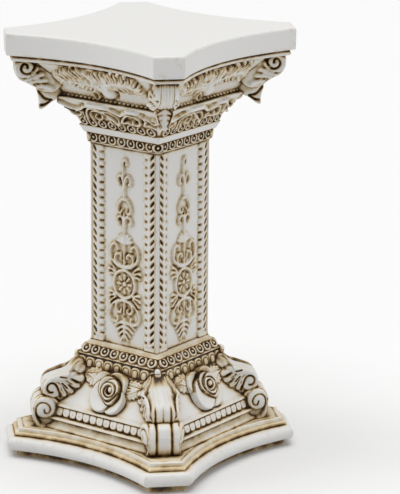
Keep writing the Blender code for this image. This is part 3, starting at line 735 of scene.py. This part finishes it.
def rose(shape, rings=42, sectors=110):
    """A rose cut out along the far edges of its outer petals."""
    angle = np.arange(sectors) * 2 * math.pi / sectors
    cos, sin = np.cos(angle), np.sin(angle)
    reach = np.zeros(sectors)
    for cx, cy, wide, tall, *_ in ROSE_PETALS[:ROSE_OUTER]:
        a = (cos / wide) ** 2 + (sin / tall) ** 2
        b = cx * cos / wide**2 + cy * sin / tall**2
        c = (cx / wide) ** 2 + (cy / tall) ** 2 - 1
        reach = np.maximum(reach, (b + np.sqrt(b * b - a * c)) / a)
    share = np.linspace(0.01, 0.99, rings)[:, None]
    x, y = share * reach * cos, share * reach * sin
    top = np.stack([x, y, rose_carving(x, y) + ROSE_OUT], -1)
    floor = top[-1:] * (1, 1, 0) - (0, 0, 4)
    shape.skin(np.concatenate([floor, top[::-1]], axis=0))


def flat_leaf(shape, root, tip, teeth, ribs, bend=0.0, rows=34, cols=22):
    """A leaf lying on a wall, from its root to its tip, with a toothed edge and ribs."""
    root, tip = np.array(root, float), np.array(tip, float)
    run = tip - root
    length = np.hypot(*run)
    along, side = run / length, np.array((-run[1], run[0])) / length
    w = np.linspace(-1, 1, cols)
    rings = []
    for s in np.linspace(0, 1, rows):
        width = LEAF_HALF * math.sin(math.pi * min(1, 0.12 + 0.9 * s) ** 0.8) ** 0.7
        width *= 0.76 + 0.24 * ((s * teeth) % 1)
        x = w * width
        y = s * length + 1.4 * np.abs(w)
        fan = np.abs(np.sin(ribs * (np.abs(w) * 1.6 + 0.9 * s)))
        h = LEAF_RISE * swell(0.96 * w) * (0.6 + 0.6 * fan) + 0.6 * bell(w / 0.10) - bend * s
        h *= ramp(s, -0.05, 0.12) * (1 - 0.5 * ramp(s, 0.85, 1.02))
        place = root + along * y[:, None] + side * x[:, None]
        under = np.column_stack([place[::-1], np.full(cols, -2.5)])
        rings.append(np.vstack([np.column_stack([place, h]), under[1:-1]]))
    shape.skin(rings)


def rose_leaves(shape):
    flat_leaf(shape, (-9.0, 8.0), (-24.0, 9.4), 4, 6.5)
    flat_leaf(shape, (10.0, 3.6), (29.0, 7.8), 6, 6.0, 0.4)


def slope_frame(side_height):
    """Directions on the sloping face of the base, and the place on it at a height."""
    low, high = BASE_SLOPE
    share = (side_height - low[0]) / (high[0] - low[0])
    half = low[1] + share * (high[1] - low[1])
    up = np.array((0.0, low[1] - high[1], high[0] - low[0]))
    up /= np.linalg.norm(up)
    across = np.array((1.0, 0.0, 0.0))
    return np.column_stack([across, up, np.cross(across, up)]), np.array((0.0, -half, side_height))


def scroll_cheek(r, z):
    """Half thickness of the big scroll: a domed coil, with the tail below it."""
    away = np.hypot(r - SCROLL[0], z - SCROLL[1]) / SCROLL[2]
    carving = Relief(r, z)
    carving.stroke(SCROLL_TAIL, 2.6, 3.0)
    dome = 2.6 + 1.8 * (1 - away**2) - 0.8 * ramp(away, 0.84, 1.0)
    carving.height = np.where(away < 1, np.maximum(dome, carving.height), carving.height)
    carving.groove(SCROLL_GROOVE, 0.6, 1.3)
    return 7.7 + 0.28 * np.clip(83.5 - r, 0, 15) + carving.height


def leaf_cheek(r, z):
    """Half thickness of the folded leaf: its fingers reach back over the slope of the base."""
    carving = Relief(r, z)
    for line in LEAF_FINGERS:
        carving.stroke(line, 2.2, 1.9, 0.9)
        carving.groove(line[1:], 0.35, 0.5)
    carving.stroke(LEAF_SPINE, 3.3, 2.5)
    carving.coil(LEAF_SCROLL, LEAF_GROOVE, 2.3, 0.6, 1.7, 2.1, 2.8)
    for line in LEAF_SLITS:
        carving.groove(line, 0.55, 1.5)
    flare = 8.8 + 0.26 * np.clip(67 - r, 0, 20)
    top = np.interp(z, (54, 61, 66, 69), (13.5, 8.6, 4.6, 2.6))
    return np.minimum(flare, top) + carving.height


def horn_cheek(r, z):
    """Half thickness of the scroll under the slab, with the fingers behind it."""
    carving = Relief(r, z)
    for line in HORN_FINGERS:
        carving.stroke(line, 1.7, 1.9, 1.1)
    carving.coil(HORN_SCROLL, HORN_GROOVE, 2.4, 0.65, 2.2, 1.7, 3.0)
    return 5.4 + 0.26 * np.clip(83 - r, 0, 16) + carving.height


def drop_cheek(r, z):
    """Half thickness of the leaf that hangs below the scroll, wider towards the wall."""
    carving = Relief(r, z)
    for line in DROP_FOLDS:
        carving.groove(line, 0.8, 2.2)
    tall = np.interp(z, (246, 251, 256, 262, 266), (3.6, 4.6, 6, 7, 6.4))
    return np.maximum(tall - 0.3 * np.clip(70 - r, 0, 12), 3.0) + carving.height


def base_corner(shape):
    """One lower corner: the leaf over its small scroll, and the big scroll on the plinth."""
    def bands(lane, theta):
        lane = np.abs(lane)
        return 0.4 * swell(lane / 4.6) - 1.6 * bell((lane - 5.3) / 0.75) + 0.5 * swell((lane - 8.6) / 3.0) - 0.4

    def flutes(lane, theta):
        lower = ramp(-np.sin(theta), -0.5, 0.1)
        lane = np.abs(lane)
        split = 0.9 * bell(lane / 0.5) * lower + 0.5 * bell((lane - 2.7) / 0.5) * (1 - lower)
        for place, width, always, below in ((5.4, 0.65, 0.4, 1.2), (8.6, 0.55, 0.3, 0.8)):
            split = split + (always + below * lower) * bell((lane - place) / width)
        return 0.3 - split - (1 - lower) * 3.4 * (lane / 9.0) ** 1.6

    plate(shape, SCROLL_CENTRE, SCROLL_OUTLINE, scroll_cheek, bands, (22, 32, 124), 11.0)
    plate(shape, LEAF_CENTRE, LEAF_OUTLINE, leaf_cheek, flutes, (32, 36, 140))
    tube(shape, ((47, -0.4, 65), (50.6, -0.6, 68), (50.6, -0.8, 70.6), (48.4, -0.6, 70.6)), (2.4, 2.2, 2.1, 1.4))


def capital_corner(shape):
    """One upper corner: the scroll under the slab, its leaf fingers and the hanging leaf."""
    def reeds(lane, theta):
        return 0.2 * np.cos(lane * 2 * math.pi / 2.1) - 0.2

    def rib(lane, theta):
        vein = (theta * 1.9 + 0.12 * np.abs(lane)) % 1
        lobes = bell(np.minimum(vein, 1 - vein) / 0.14) * ramp(np.abs(lane), 0.8, 2.2)
        return 0.6 * bell(lane / 1.4) - 0.6 - 0.8 * lobes

    plate(shape, HORN_CENTRE, HORN_OUTLINE, horn_cheek, reeds, (26, 36, 120))
    plate(shape, DROP_CENTRE, DROP_OUTLINE, drop_cheek, rib, (20, 18, 96))


def row_tree():
    """Copies a unit along a line on one side, then turns that line to all four sides."""
    tree = bpy.data.node_groups.new("row_on_each_side", "GeometryNodeTree")
    for label, kind in (("Geometry", "Geometry"), ("Unit", "Object"), ("Count", "Int"), ("Start", "Vector"),
                        ("Step", "Vector"), ("Tilt", "Vector"), ("First turn", "Float"), ("Material", "Material")):
        tree.interface.new_socket(label, in_out="INPUT", socket_type="NodeSocket" + kind)
    tree.interface.new_socket("Geometry", in_out="OUTPUT", socket_type="NodeSocketGeometry")

    def on_points(points, instance, euler):
        spin = add_node(tree, "FunctionNodeEulerToRotation", {"Euler": euler})
        return add_node(tree, "GeometryNodeInstanceOnPoints", {
            "Points": points, "Instance": instance, "Rotation": spin})

    given = add_node(tree, "NodeGroupInput").outputs
    unit = add_node(tree, "GeometryNodeObjectInfo", {"Object": given["Unit"]}).outputs["Geometry"]
    line = add_node(tree, "GeometryNodeMeshLine", {
        "Count": given["Count"], "Start Location": given["Start"], "Offset": given["Step"]})
    hub = add_node(tree, "GeometryNodeMeshLine", {"Count": SIDES, "Offset": (0, 0, 0)})
    index = add_node(tree, "GeometryNodeInputIndex")
    turn = add_node(tree, "ShaderNodeMath", {0: index, 1: QUARTER, 2: given["First turn"]}, operation="MULTIPLY_ADD")
    euler = add_node(tree, "ShaderNodeCombineXYZ", {"Z": turn})
    around = on_points(hub, on_points(line, unit, given["Tilt"]), euler)
    real = add_node(tree, "GeometryNodeRealizeInstances", {"Geometry": around})
    paint = add_node(tree, "GeometryNodeSetMaterial", {"Geometry": real, "Material": given["Material"]})
    add_node(tree, "NodeGroupOutput", {0: paint})
    return tree


def row_mesh(tree, unit, values):
    """Runs the tree once for a unit mesh and returns the plain mesh."""
    holder = bpy.data.objects.new("unit", unit)
    carrier = bpy.data.objects.new("row", bpy.data.meshes.new("row"))
    bpy.context.scene.collection.objects.link(carrier)
    modifier = carrier.modifiers.new("Row", "NODES")
    modifier.node_group = tree
    values = dict(values, Unit=holder, Material=resin())
    for item in tree.interface.items_tree:
        if item.in_out == "INPUT" and item.name in values:
            modifier[item.identifier] = values[item.name]
    bpy.context.view_layer.update()
    made = bpy.data.meshes.new_from_object(carrier.evaluated_get(bpy.context.evaluated_depsgraph_get()))
    bpy.data.objects.remove(carrier)
    bpy.data.objects.remove(holder)
    return made


def face_row(tree, unit, count, pitch, height, reach, lean, first_turn=0.0):
    """A row of copies across each face. The unit's Z points out of the face and its Y up it."""
    return row_mesh(tree, unit, {
        "Count": count,
        "Start": (-pitch * (count - 1) / 2 * MM, -reach * MM, height * MM),
        "Step": (pitch * MM, 0, 0),
        "Tilt": (QUARTER - lean, 0, 0),
        "First turn": first_turn,
    })


def rows_of(items, name, width=3, kind=np.float32):
    """What each of a mesh's items holds under a name, as rows of an array."""
    rows = np.empty(len(items) * width, kind)
    items.foreach_get(name, rows)
    return rows.reshape(-1, width)


def joined(meshes):
    """Points and faces of several meshes, numbered through."""
    points, faces, count = [], [], 0
    for mesh in meshes:
        points.append(rows_of(mesh.vertices, "co"))
        faces += [[i + count for i in face.vertices] for face in mesh.polygons]
        count += len(mesh.vertices)
    return np.vstack(points).tolist(), faces


def merged(name, meshes):
    """One mesh of several."""
    points, faces = joined(meshes)
    for mesh in meshes:
        bpy.data.meshes.remove(mesh)
    made = bpy.data.meshes.new(name)
    made.from_pydata(points, [], faces)
    return made


def bead_unit():
    def rise(x, y, share):
        opening = ramp(y / 3.9 - 1.1 * np.abs(x) / 3.9, 0.15, 0.6)
        ring = 1.35 * swell(np.clip((share - 0.76) / 0.24, -1, 1)) * (1 - 0.9 * opening)
        boss = 1.5 * swell(np.clip(share / 0.34, 0, 1))
        return ring + boss - 0.5 * bell((share - 0.45) / 0.12) - 0.3 * (share > 0.97)

    return pad("bead", (3.85, 3.85), rise, 26, 12, back=1.2)


def tongue_unit():
    def rise(x, y, share):
        return 1.9 * swell(0.9 * share) - 0.9 * bell((share - 0.66) / 0.09) + 0.2 * share

    return pad("tongue", (3.75, 4.6), rise, 30, 10, 3.0, 3.0)


def tab_unit():
    def rise(x, y, share):
        corner = ramp(np.abs(x) / 3.0 - 0.8 * y / 3.0, 1.15, 1.5)
        return 1.7 - 0.5 * ramp(share, 0.85, 1.0) - 0.3 * bell(x / 0.5) * (y < 0) - 2.4 * corner

    return pad("tab", (3.02, 3.1), rise, 28, 9, 5.0, 2.0)


def pearl_unit():
    return pad("pearl", (1.3, 1.15), lambda x, y, share: 0.9 * swell(0.97 * share), 12, 5)


def hidden_rays(points, normals, tree, rays, reaches):
    """Share of the sky that near parts hide, for each reach."""
    chance = np.random.default_rng(RAY_SEED)
    count = len(points)
    side = np.cross(normals, np.where(np.abs(normals[:, 2:]) < 0.9, (0, 0, 1), (1, 0, 0)))
    side /= np.linalg.norm(side, axis=1, keepdims=True)
    other = np.cross(normals, side)
    turn = chance.random(count)
    hidden = np.zeros((len(reaches), count))
    starts = (points + normals * RAY_LIFT * MM).tolist()
    far = max(reaches)
    cast = tree.ray_cast
    for ray in range(rays):
        spread = math.sqrt((ray + 0.5) / rays)
        angle = 2 * math.pi * (turn + ray * GOLDEN)
        way = (spread * np.cos(angle))[:, None] * side + (spread * np.sin(angle))[:, None] * other
        way += math.sqrt(1 - 0.92 * spread**2) * normals
        found = np.full(count, far)
        for i, (start, heading) in enumerate(zip(starts, way.tolist())):
            away = cast(start, heading, far)[3]
            if away is not None:
                found[i] = away
        for k, reach in enumerate(reaches):
            hidden[k] += np.clip(1 - found / reach, 0, 1) / rays
    return hidden


def smoothed(values, edges, rounds):
    """Averages a value with its neighbours along the edges."""
    count = len(values)
    share = np.bincount(edges.ravel(), minlength=count) + 1.0
    for _ in range(rounds):
        total = values.copy()
        total += np.bincount(edges[:, 0], values[edges[:, 1]], count)
        total += np.bincount(edges[:, 1], values[edges[:, 0]], count)
        values = total / share
    return values


def age(pieces):
    """Writes for each vertex how stained it is (wash with painted shade), how high an edge it is on (warm tone with a
    painted highlight), and how much of that edge may chip.
    """
    look = bpy.context.scene.column_finish
    meshes = [piece.data for piece in pieces]
    tree = BVHTree.FromPolygons(*joined(meshes))
    rays = look.rays
    for mesh in meshes:
        points = rows_of(mesh.vertices, "co").astype(float)
        normals = rows_of(mesh.vertex_normals, "vector").astype(float)
        edges = rows_of(mesh.edges, "vertices", 2, np.int32)
        near, far = hidden_rays(points, normals, tree, rays, (look.near_reach, look.far_reach))
        near, far = smoothed(near, edges, 1), smoothed(far, edges, 2)
        total, (start, end) = len(points), edges.T
        span = points[end] - points[start]
        length = np.linalg.norm(span, axis=1) + TINY
        first = -np.einsum("ij,ij->i", span, normals[start]) / length
        second = np.einsum("ij,ij->i", span, normals[end]) / length
        bend = np.bincount(start, first, total) + np.bincount(end, second, total)
        bend /= np.maximum(np.bincount(edges.ravel(), minlength=total), 1)
        bend = smoothed(bend, edges, 1)
        edge = np.clip(bend * look.crest_gain, 0, 1)
        # High edges near hollows get a lighter warm tone: part cream tone, part painted highlight
        crest_and_highlight = edge * ramp(far, 0.0, 0.12)
        # Narrow hollows take the wash; wide hollows and places under overhangs take the wash plus painted shade
        wash_and_shade = look.near_weight * near + look.far_wash_and_shade_weight * far
        wash_and_shade = wash_and_shade * (1 - look.rub * crest_and_highlight) + np.clip(-bend, 0, 1) * look.crease
        # Level bands: painted shadow at the foot, painted shade on the tongues under the ring band, wash on the
        # ledges
        for height, reach, share in SHADE_AND_STAIN_BANDS:
            wash_and_shade = wash_and_shade + look.bands * share * bell((points[:, 2] / MM - height) / reach)
        for name, values in ((WASH_AND_SHADE, np.clip(wash_and_shade, 0, 1)), (CREST_AND_HIGHLIGHT, crest_and_highlight), (CHIP, edge - crest_and_highlight)):
            mesh.attributes.new(name, "FLOAT", "POINT").data.foreach_set("value", values.astype(np.float32))


class ColumnShape(bpy.types.PropertyGroup):
    """Fineness of the carved surfaces."""
    spacing: bpy.props.FloatProperty(
        name="Row spacing", description="Distance between the rows of a carved wall, in millimetres",
        default=0.66, min=0.3, max=3.0)
    lane: bpy.props.FloatProperty(
        name="Column spacing", description="Distance between the columns of a carved wall, in millimetres",
        default=0.66, min=0.3, max=3.0)


class ColumnFinish(bpy.types.PropertyGroup):
    """Colours and wear of the aged resin, with its painted shade and painted highlights."""
    body: bpy.props.FloatVectorProperty(
        name="Body", description="Colour of the flat resin", default=(0.67, 0.665, 0.65, 1), **COLOUR)
    # Lighter warm colour of the high edges: part cream tone, part painted highlight
    crest_and_highlight: bpy.props.FloatVectorProperty(
        name="High edges", description="Warm colour of the high edges", default=(0.84, 0.80, 0.70, 1), **COLOUR)
    chip: bpy.props.FloatVectorProperty(
        name="Chips", description="Colour of the chips along bare edges", default=(0.55, 0.47, 0.34, 1), **COLOUR)
    chip_scale: bpy.props.FloatProperty(
        name="Chip spots", description="Spots of chipping in a metre", default=190, min=1, max=1000)
    light_wash: bpy.props.FloatVectorProperty(
        name="Light wash", description="Tan tint at the rim of the hollows", default=(0.83, 0.70, 0.48, 1), **COLOUR)
    # Brown of the hollows: wash, and also painted shade
    wash_and_shade: bpy.props.FloatVectorProperty(
        name="Wash", description="Brown tint of the hollows", default=(0.53, 0.36, 0.16, 1), **COLOUR)
    # Dark brown of the deep gaps: wash with painted shade
    dark_wash_and_shade: bpy.props.FloatVectorProperty(
        name="Dark wash", description="Brown tint of the deep gaps", default=(0.20, 0.11, 0.038, 1), **COLOUR)
    # Near black of the deepest hollows: painted shade over the wash
    deep: bpy.props.FloatVectorProperty(
        name="Deep wash", description="Tint of the deepest hollows", default=(0.06, 0.03, 0.01, 1), **COLOUR)
    roughness: bpy.props.FloatProperty(
        name="Roughness", description="Roughness of the resin", default=0.5, **SHARE)
    shine: bpy.props.FloatProperty(name="Shine", description="Strength of the reflections", default=0.4, **SHARE)
    grain: bpy.props.FloatProperty(name="Grain", description="Strength of the fine grain", default=0.25, **SHARE)
    patch_scale: bpy.props.FloatProperty(
        name="Patches", description="Patches of uneven wash in a metre", default=130, min=1, max=1000)
    rays: bpy.props.IntProperty(
        name="Rays", description="Directions tried at each vertex to find the hollows", default=9, min=1, max=32)
    near_reach: bpy.props.FloatProperty(
        name="Near reach", description="How far a narrow hollow is looked for", default=2.6 * MM, unit="LENGTH")
    far_reach: bpy.props.FloatProperty(
        name="Far reach", description="How far a wide hollow is looked for", default=14 * MM, unit="LENGTH")
    near_weight: bpy.props.FloatProperty(
        name="Near weight", description="How strongly narrow hollows are stained", default=1.7, min=0, max=4)
    # Wide hollows and places under overhangs get wash and painted shade
    far_wash_and_shade_weight: bpy.props.FloatProperty(
        name="Far weight", description="How strongly wide hollows are stained", default=1.5, min=0, max=4)
    crest_gain: bpy.props.FloatProperty(
        name="Edge gain", description="How quickly a bend counts as a high edge", default=3, min=0, max=20)
    rub: bpy.props.FloatProperty(
        name="Rub", description="How much of the wash is rubbed off the high edges", default=0.5, min=0, max=1)
    crease: bpy.props.FloatProperty(
        name="Crease", description="How strongly sharp creases are stained", default=0.9, min=0, max=5)
    # Strength of the level bands: painted shadow at the foot and painted shade on the tongues, with wash settled on
    # ledges
    bands: bpy.props.FloatProperty(
        name="Bands", description="Strength of the level bands of stain", default=1, min=0, max=3)


class ColumnStage(bpy.types.PropertyGroup):
    """Camera and light of the photograph."""
    turn: bpy.props.FloatProperty(
        name="Turn", description="Camera's angle round the column from its front", default=math.radians(36.72371),
        **ANGLE)
    height: bpy.props.FloatProperty(
        name="Height", description="Camera's angle above the level", default=math.radians(15.70161), **ANGLE)
    roll: bpy.props.FloatProperty(
        name="Roll", description="Camera's tilt to the side", default=math.radians(0.43319), **ANGLE)
    distance: bpy.props.FloatProperty(
        name="Distance", description="Camera's distance", default=1.79867, unit="LENGTH")
    lens: bpy.props.FloatProperty(
        name="Lens", description="Focal length of the camera in millimetres", default=188.66)
    aim: bpy.props.FloatVectorProperty(
        name="Aim", description="How far to the right of the axis, and how high, the camera looks", size=2,
        default=(0.03485, 0.14557), unit="LENGTH")
    floor: bpy.props.FloatVectorProperty(
        name="Floor", description="Colour of the floor", default=(0.72, 0.72, 0.72, 1), **COLOUR)
    sky: bpy.props.FloatProperty(
        name="Sky", description="Strength of the even light", default=0.28, min=0, max=10)


def lanes(count):
    """Columns of a wall, spread evenly over a side."""
    return np.linspace(-1, 1, count)


def shaft_lanes():
    """Columns of the shaft: close on the leaf borders, wider on the panels."""
    reach = SHAFT_HALF - SHAFT_CUT
    border = np.linspace(PANEL_EDGE, reach, 27)
    panel = np.linspace(-PANEL_EDGE, PANEL_EDGE, 53)
    return np.concatenate([-border[::-1], panel[1:-1], border]) / reach


class ColumnPiece:
    """What the operators of the pieces share."""
    bl_options = {"REGISTER", "UNDO"}


class COLUMN_OT_plinth(ColumnPiece, bpy.types.Operator):
    """Build the plinth with its recessed foot and mouldings"""
    bl_idname = "column.plinth"
    bl_label = "Plinth"

    def execute(self, context):
        finish_shape("plinth", Shape().skin(wall(PLINTH, 1.6, lanes(49), 6)), 30)
        return {"FINISHED"}


class COLUMN_OT_base(ColumnPiece, bpy.types.Operator):
    """Build the sloping base block with its fillets"""
    bl_idname = "column.base_block"
    bl_label = "Base block"

    def execute(self, context):
        finish_shape("base_block", Shape().skin(wall(BASE, 1.2, lanes(71), 4)), 40)
        return {"FINISHED"}


class COLUMN_OT_shaft(ColumnPiece, bpy.types.Operator):
    """Build the square shaft with its leaf borders and carved panels"""
    bl_idname = "column.shaft"
    bl_label = "Shaft"

    def execute(self, context):
        spacing = context.scene.column_shape.spacing
        finish_shape("shaft", Shape().skin(wall(SHAFT, spacing, shaft_lanes(), 2, shaft_carving)))
        return {"FINISHED"}


class COLUMN_OT_capital(ColumnPiece, bpy.types.Operator):
    """Build the flaring capital with its scrolls, leaf sprays and shells"""
    bl_idname = "column.capital"
    bl_label = "Capital"

    def execute(self, context):
        look = context.scene.column_shape
        columns = lanes(2 * round(46 / look.lane) + 1)
        finish_shape("capital", Shape().skin(wall(CAPITAL, look.spacing, columns, 6, capital_carving)))
        return {"FINISHED"}


class COLUMN_OT_slab(ColumnPiece, bpy.types.Operator):
    """Build the top slab with hollow sides and cut corners"""
    bl_idname = "column.slab"
    bl_label = "Slab"

    def execute(self, context):
        finish_shape("slab", Shape().skin(wall(SLAB, 2.0, lanes(41), 2)), 35)
        return {"FINISHED"}


class COLUMN_OT_rows(ColumnPiece, bpy.types.Operator):
    """Build the rows of ringed beads, pearls, tongues and tabs"""
    bl_idname = "column.rows"
    bl_label = "Bead and tongue rows"

    def execute(self, context):
        tree = row_tree()
        bead = bead_unit()
        beads = [face_row(tree, bead, *row) for row in BEAD_ROWS]
        _, pitch, height, reach, lean = BEAD_ROWS[1]
        beads.append(face_row(tree, bead, 1, pitch, height, (reach - 0.9) * math.sqrt(2), lean, QUARTER / 2))
        finish_mesh("ring_beads", merged("ring_beads", beads))
        finish_mesh("tongues", face_row(tree, tongue_unit(), *TONGUE_ROW))
        finish_mesh("frieze_tabs", face_row(tree, tab_unit(), *TAB_ROW))
        finish_mesh("pearls", face_row(tree, pearl_unit(), *PEARL_ROW))
        return {"FINISHED"}


class COLUMN_OT_base_corners(ColumnPiece, bpy.types.Operator):
    """Build the four lower corners: folded leaves over double scrolls"""
    bl_idname = "column.base_corners"
    bl_label = "Base corners"

    def execute(self, context):
        finish_shape("base_corners", all_round(base_corner, -0.5), 60)
        return {"FINISHED"}


class COLUMN_OT_capital_corners(ColumnPiece, bpy.types.Operator):
    """Build the four upper corners: scrolls with leaf fingers and a hanging leaf"""
    bl_idname = "column.capital_corners"
    bl_label = "Capital corners"

    def execute(self, context):
        finish_shape("capital_corners", all_round(capital_corner, -0.5), 60)
        return {"FINISHED"}


class COLUMN_OT_roses(ColumnPiece, bpy.types.Operator):
    """Build the rose with its leaves on each face of the base"""
    bl_idname = "column.roses"
    bl_label = "Roses"

    def execute(self, context):
        place = slope_frame(ROSE_HEIGHT)
        finish_shape("roses", all_round(rose, 0, place), 70)
        finish_shape("rose_leaves", all_round(rose_leaves, 0, place), 70)
        return {"FINISHED"}


class COLUMN_OT_age(ColumnPiece, bpy.types.Operator):
    """Stain the hollows with wash and painted shade, and rub the high edges and give them a painted highlight, on
    every piece
    """
    bl_idname = "column.age"
    bl_label = "Aged finish"

    def execute(self, context):
        age([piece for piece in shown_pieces() if piece.name != NODE])
        return {"FINISHED"}


class COLUMN_OT_stage(ColumnPiece, bpy.types.Operator):
    """Set the floor, the soft studio light and the camera of the photograph"""
    bl_idname = "column.stage"
    bl_label = "Stage"

    def execute(self, context):
        scene, look = context.scene, context.scene.column_stage
        self.floor(scene, look)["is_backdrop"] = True
        self.camera(scene, look)
        self.light(scene, look)
        return {"FINISHED"}

    def floor(self, scene, look):
        mesh = bpy.data.meshes.new("floor")
        corners = [(x * FLOOR_HALF, y * FLOOR_HALF, 0) for x, y in ((-1, -1), (1, -1), (1, 1), (-1, 1))]
        mesh.from_pydata(corners, [], [(0, 1, 2, 3)])
        floor = bpy.data.objects.new("floor", mesh)
        scene.collection.objects.link(floor)
        paint = bpy.data.materials.new("floor")
        paint.use_nodes = True
        shader = paint.node_tree.nodes["Principled BSDF"]
        shader.inputs["Base Color"].default_value = look.floor
        shader.inputs["Roughness"].default_value = 0.9
        mesh.materials.append(paint)
        return floor

    def camera(self, scene, look):
        turn, rise = look.turn, look.height
        back = Vector((math.sin(turn) * math.cos(rise), -math.cos(turn) * math.cos(rise), math.sin(rise)))
        right = Vector((math.cos(turn), math.sin(turn), 0))
        place = Vector((0, 0, look.aim[1])) + right * look.aim[0] + back * look.distance
        data = bpy.data.cameras.new("photo")
        data.lens = look.lens
        data.sensor_width = SENSOR
        data.clip_start = NEAREST
        camera = bpy.data.objects.new("photo", data)
        up = back.cross(right)
        across = right * math.cos(look.roll) + up * math.sin(look.roll)
        above = up * math.cos(look.roll) - right * math.sin(look.roll)
        matrix = camera.matrix_world.copy()
        for row in range(3):
            matrix[row] = across[row], above[row], back[row], place[row]
        camera.matrix_world = matrix
        scene.collection.objects.link(camera)
        scene.camera = camera

    def light(self, scene, look):
        world = bpy.data.worlds.new("studio")
        world.use_nodes = True
        glow = world.node_tree.nodes["Background"]
        glow.inputs["Color"].default_value = (1, 1, 1, 1)
        glow.inputs["Strength"].default_value = look.sky
        scene.world = world
        for name, way, spread, strength in LIGHTS:
            data = bpy.data.lights.new(name, "SUN")
            data.energy = strength
            data.angle = math.radians(spread)
            lamp = bpy.data.objects.new(name, data)
            lamp.rotation_euler = Vector(way).to_track_quat("Z", "Y").to_euler()
            scene.collection.objects.link(lamp)
        scene.view_settings.view_transform = "Standard"


class COLUMN_PT_panel(bpy.types.Panel):
    """Lists the steps that build the column"""
    bl_label = "Column"
    bl_idname = "COLUMN_PT_panel"
    bl_space_type = "VIEW_3D"
    bl_region_type = "UI"
    bl_category = "Column"

    def draw(self, context):
        for operator in STEPS:
            self.layout.operator(operator.bl_idname)
        for group, kind in SETTINGS:
            box = self.layout.box()
            for name in kind.__annotations__:
                box.prop(getattr(context.scene, group), name)


STEPS = (
    COLUMN_OT_plinth,
    COLUMN_OT_base,
    COLUMN_OT_shaft,
    COLUMN_OT_capital,
    COLUMN_OT_slab,
    COLUMN_OT_rows,
    COLUMN_OT_base_corners,
    COLUMN_OT_capital_corners,
    COLUMN_OT_roses,
    COLUMN_OT_age,
    COLUMN_OT_stage,
)
SETTINGS = (
    ("column_shape", ColumnShape),
    ("column_finish", ColumnFinish),
    ("column_stage", ColumnStage),
)


def register():
    for name, kind in SETTINGS:
        bpy.utils.register_class(kind)
        setattr(bpy.types.Scene, name, bpy.props.PointerProperty(type=kind))
    for kind in STEPS + (COLUMN_PT_panel,):
        bpy.utils.register_class(kind)


def unregister():
    for kind in reversed(STEPS + (COLUMN_PT_panel,)):
        bpy.utils.unregister_class(kind)
    for name, kind in reversed(SETTINGS):
        delattr(bpy.types.Scene, name)
        bpy.utils.unregister_class(kind)


def main():
    register()
    for step in STEPS:
        group, name = step.bl_idname.split(".")
        getattr(getattr(bpy.ops, group), name)()


if __name__ == "__main__":
    main()
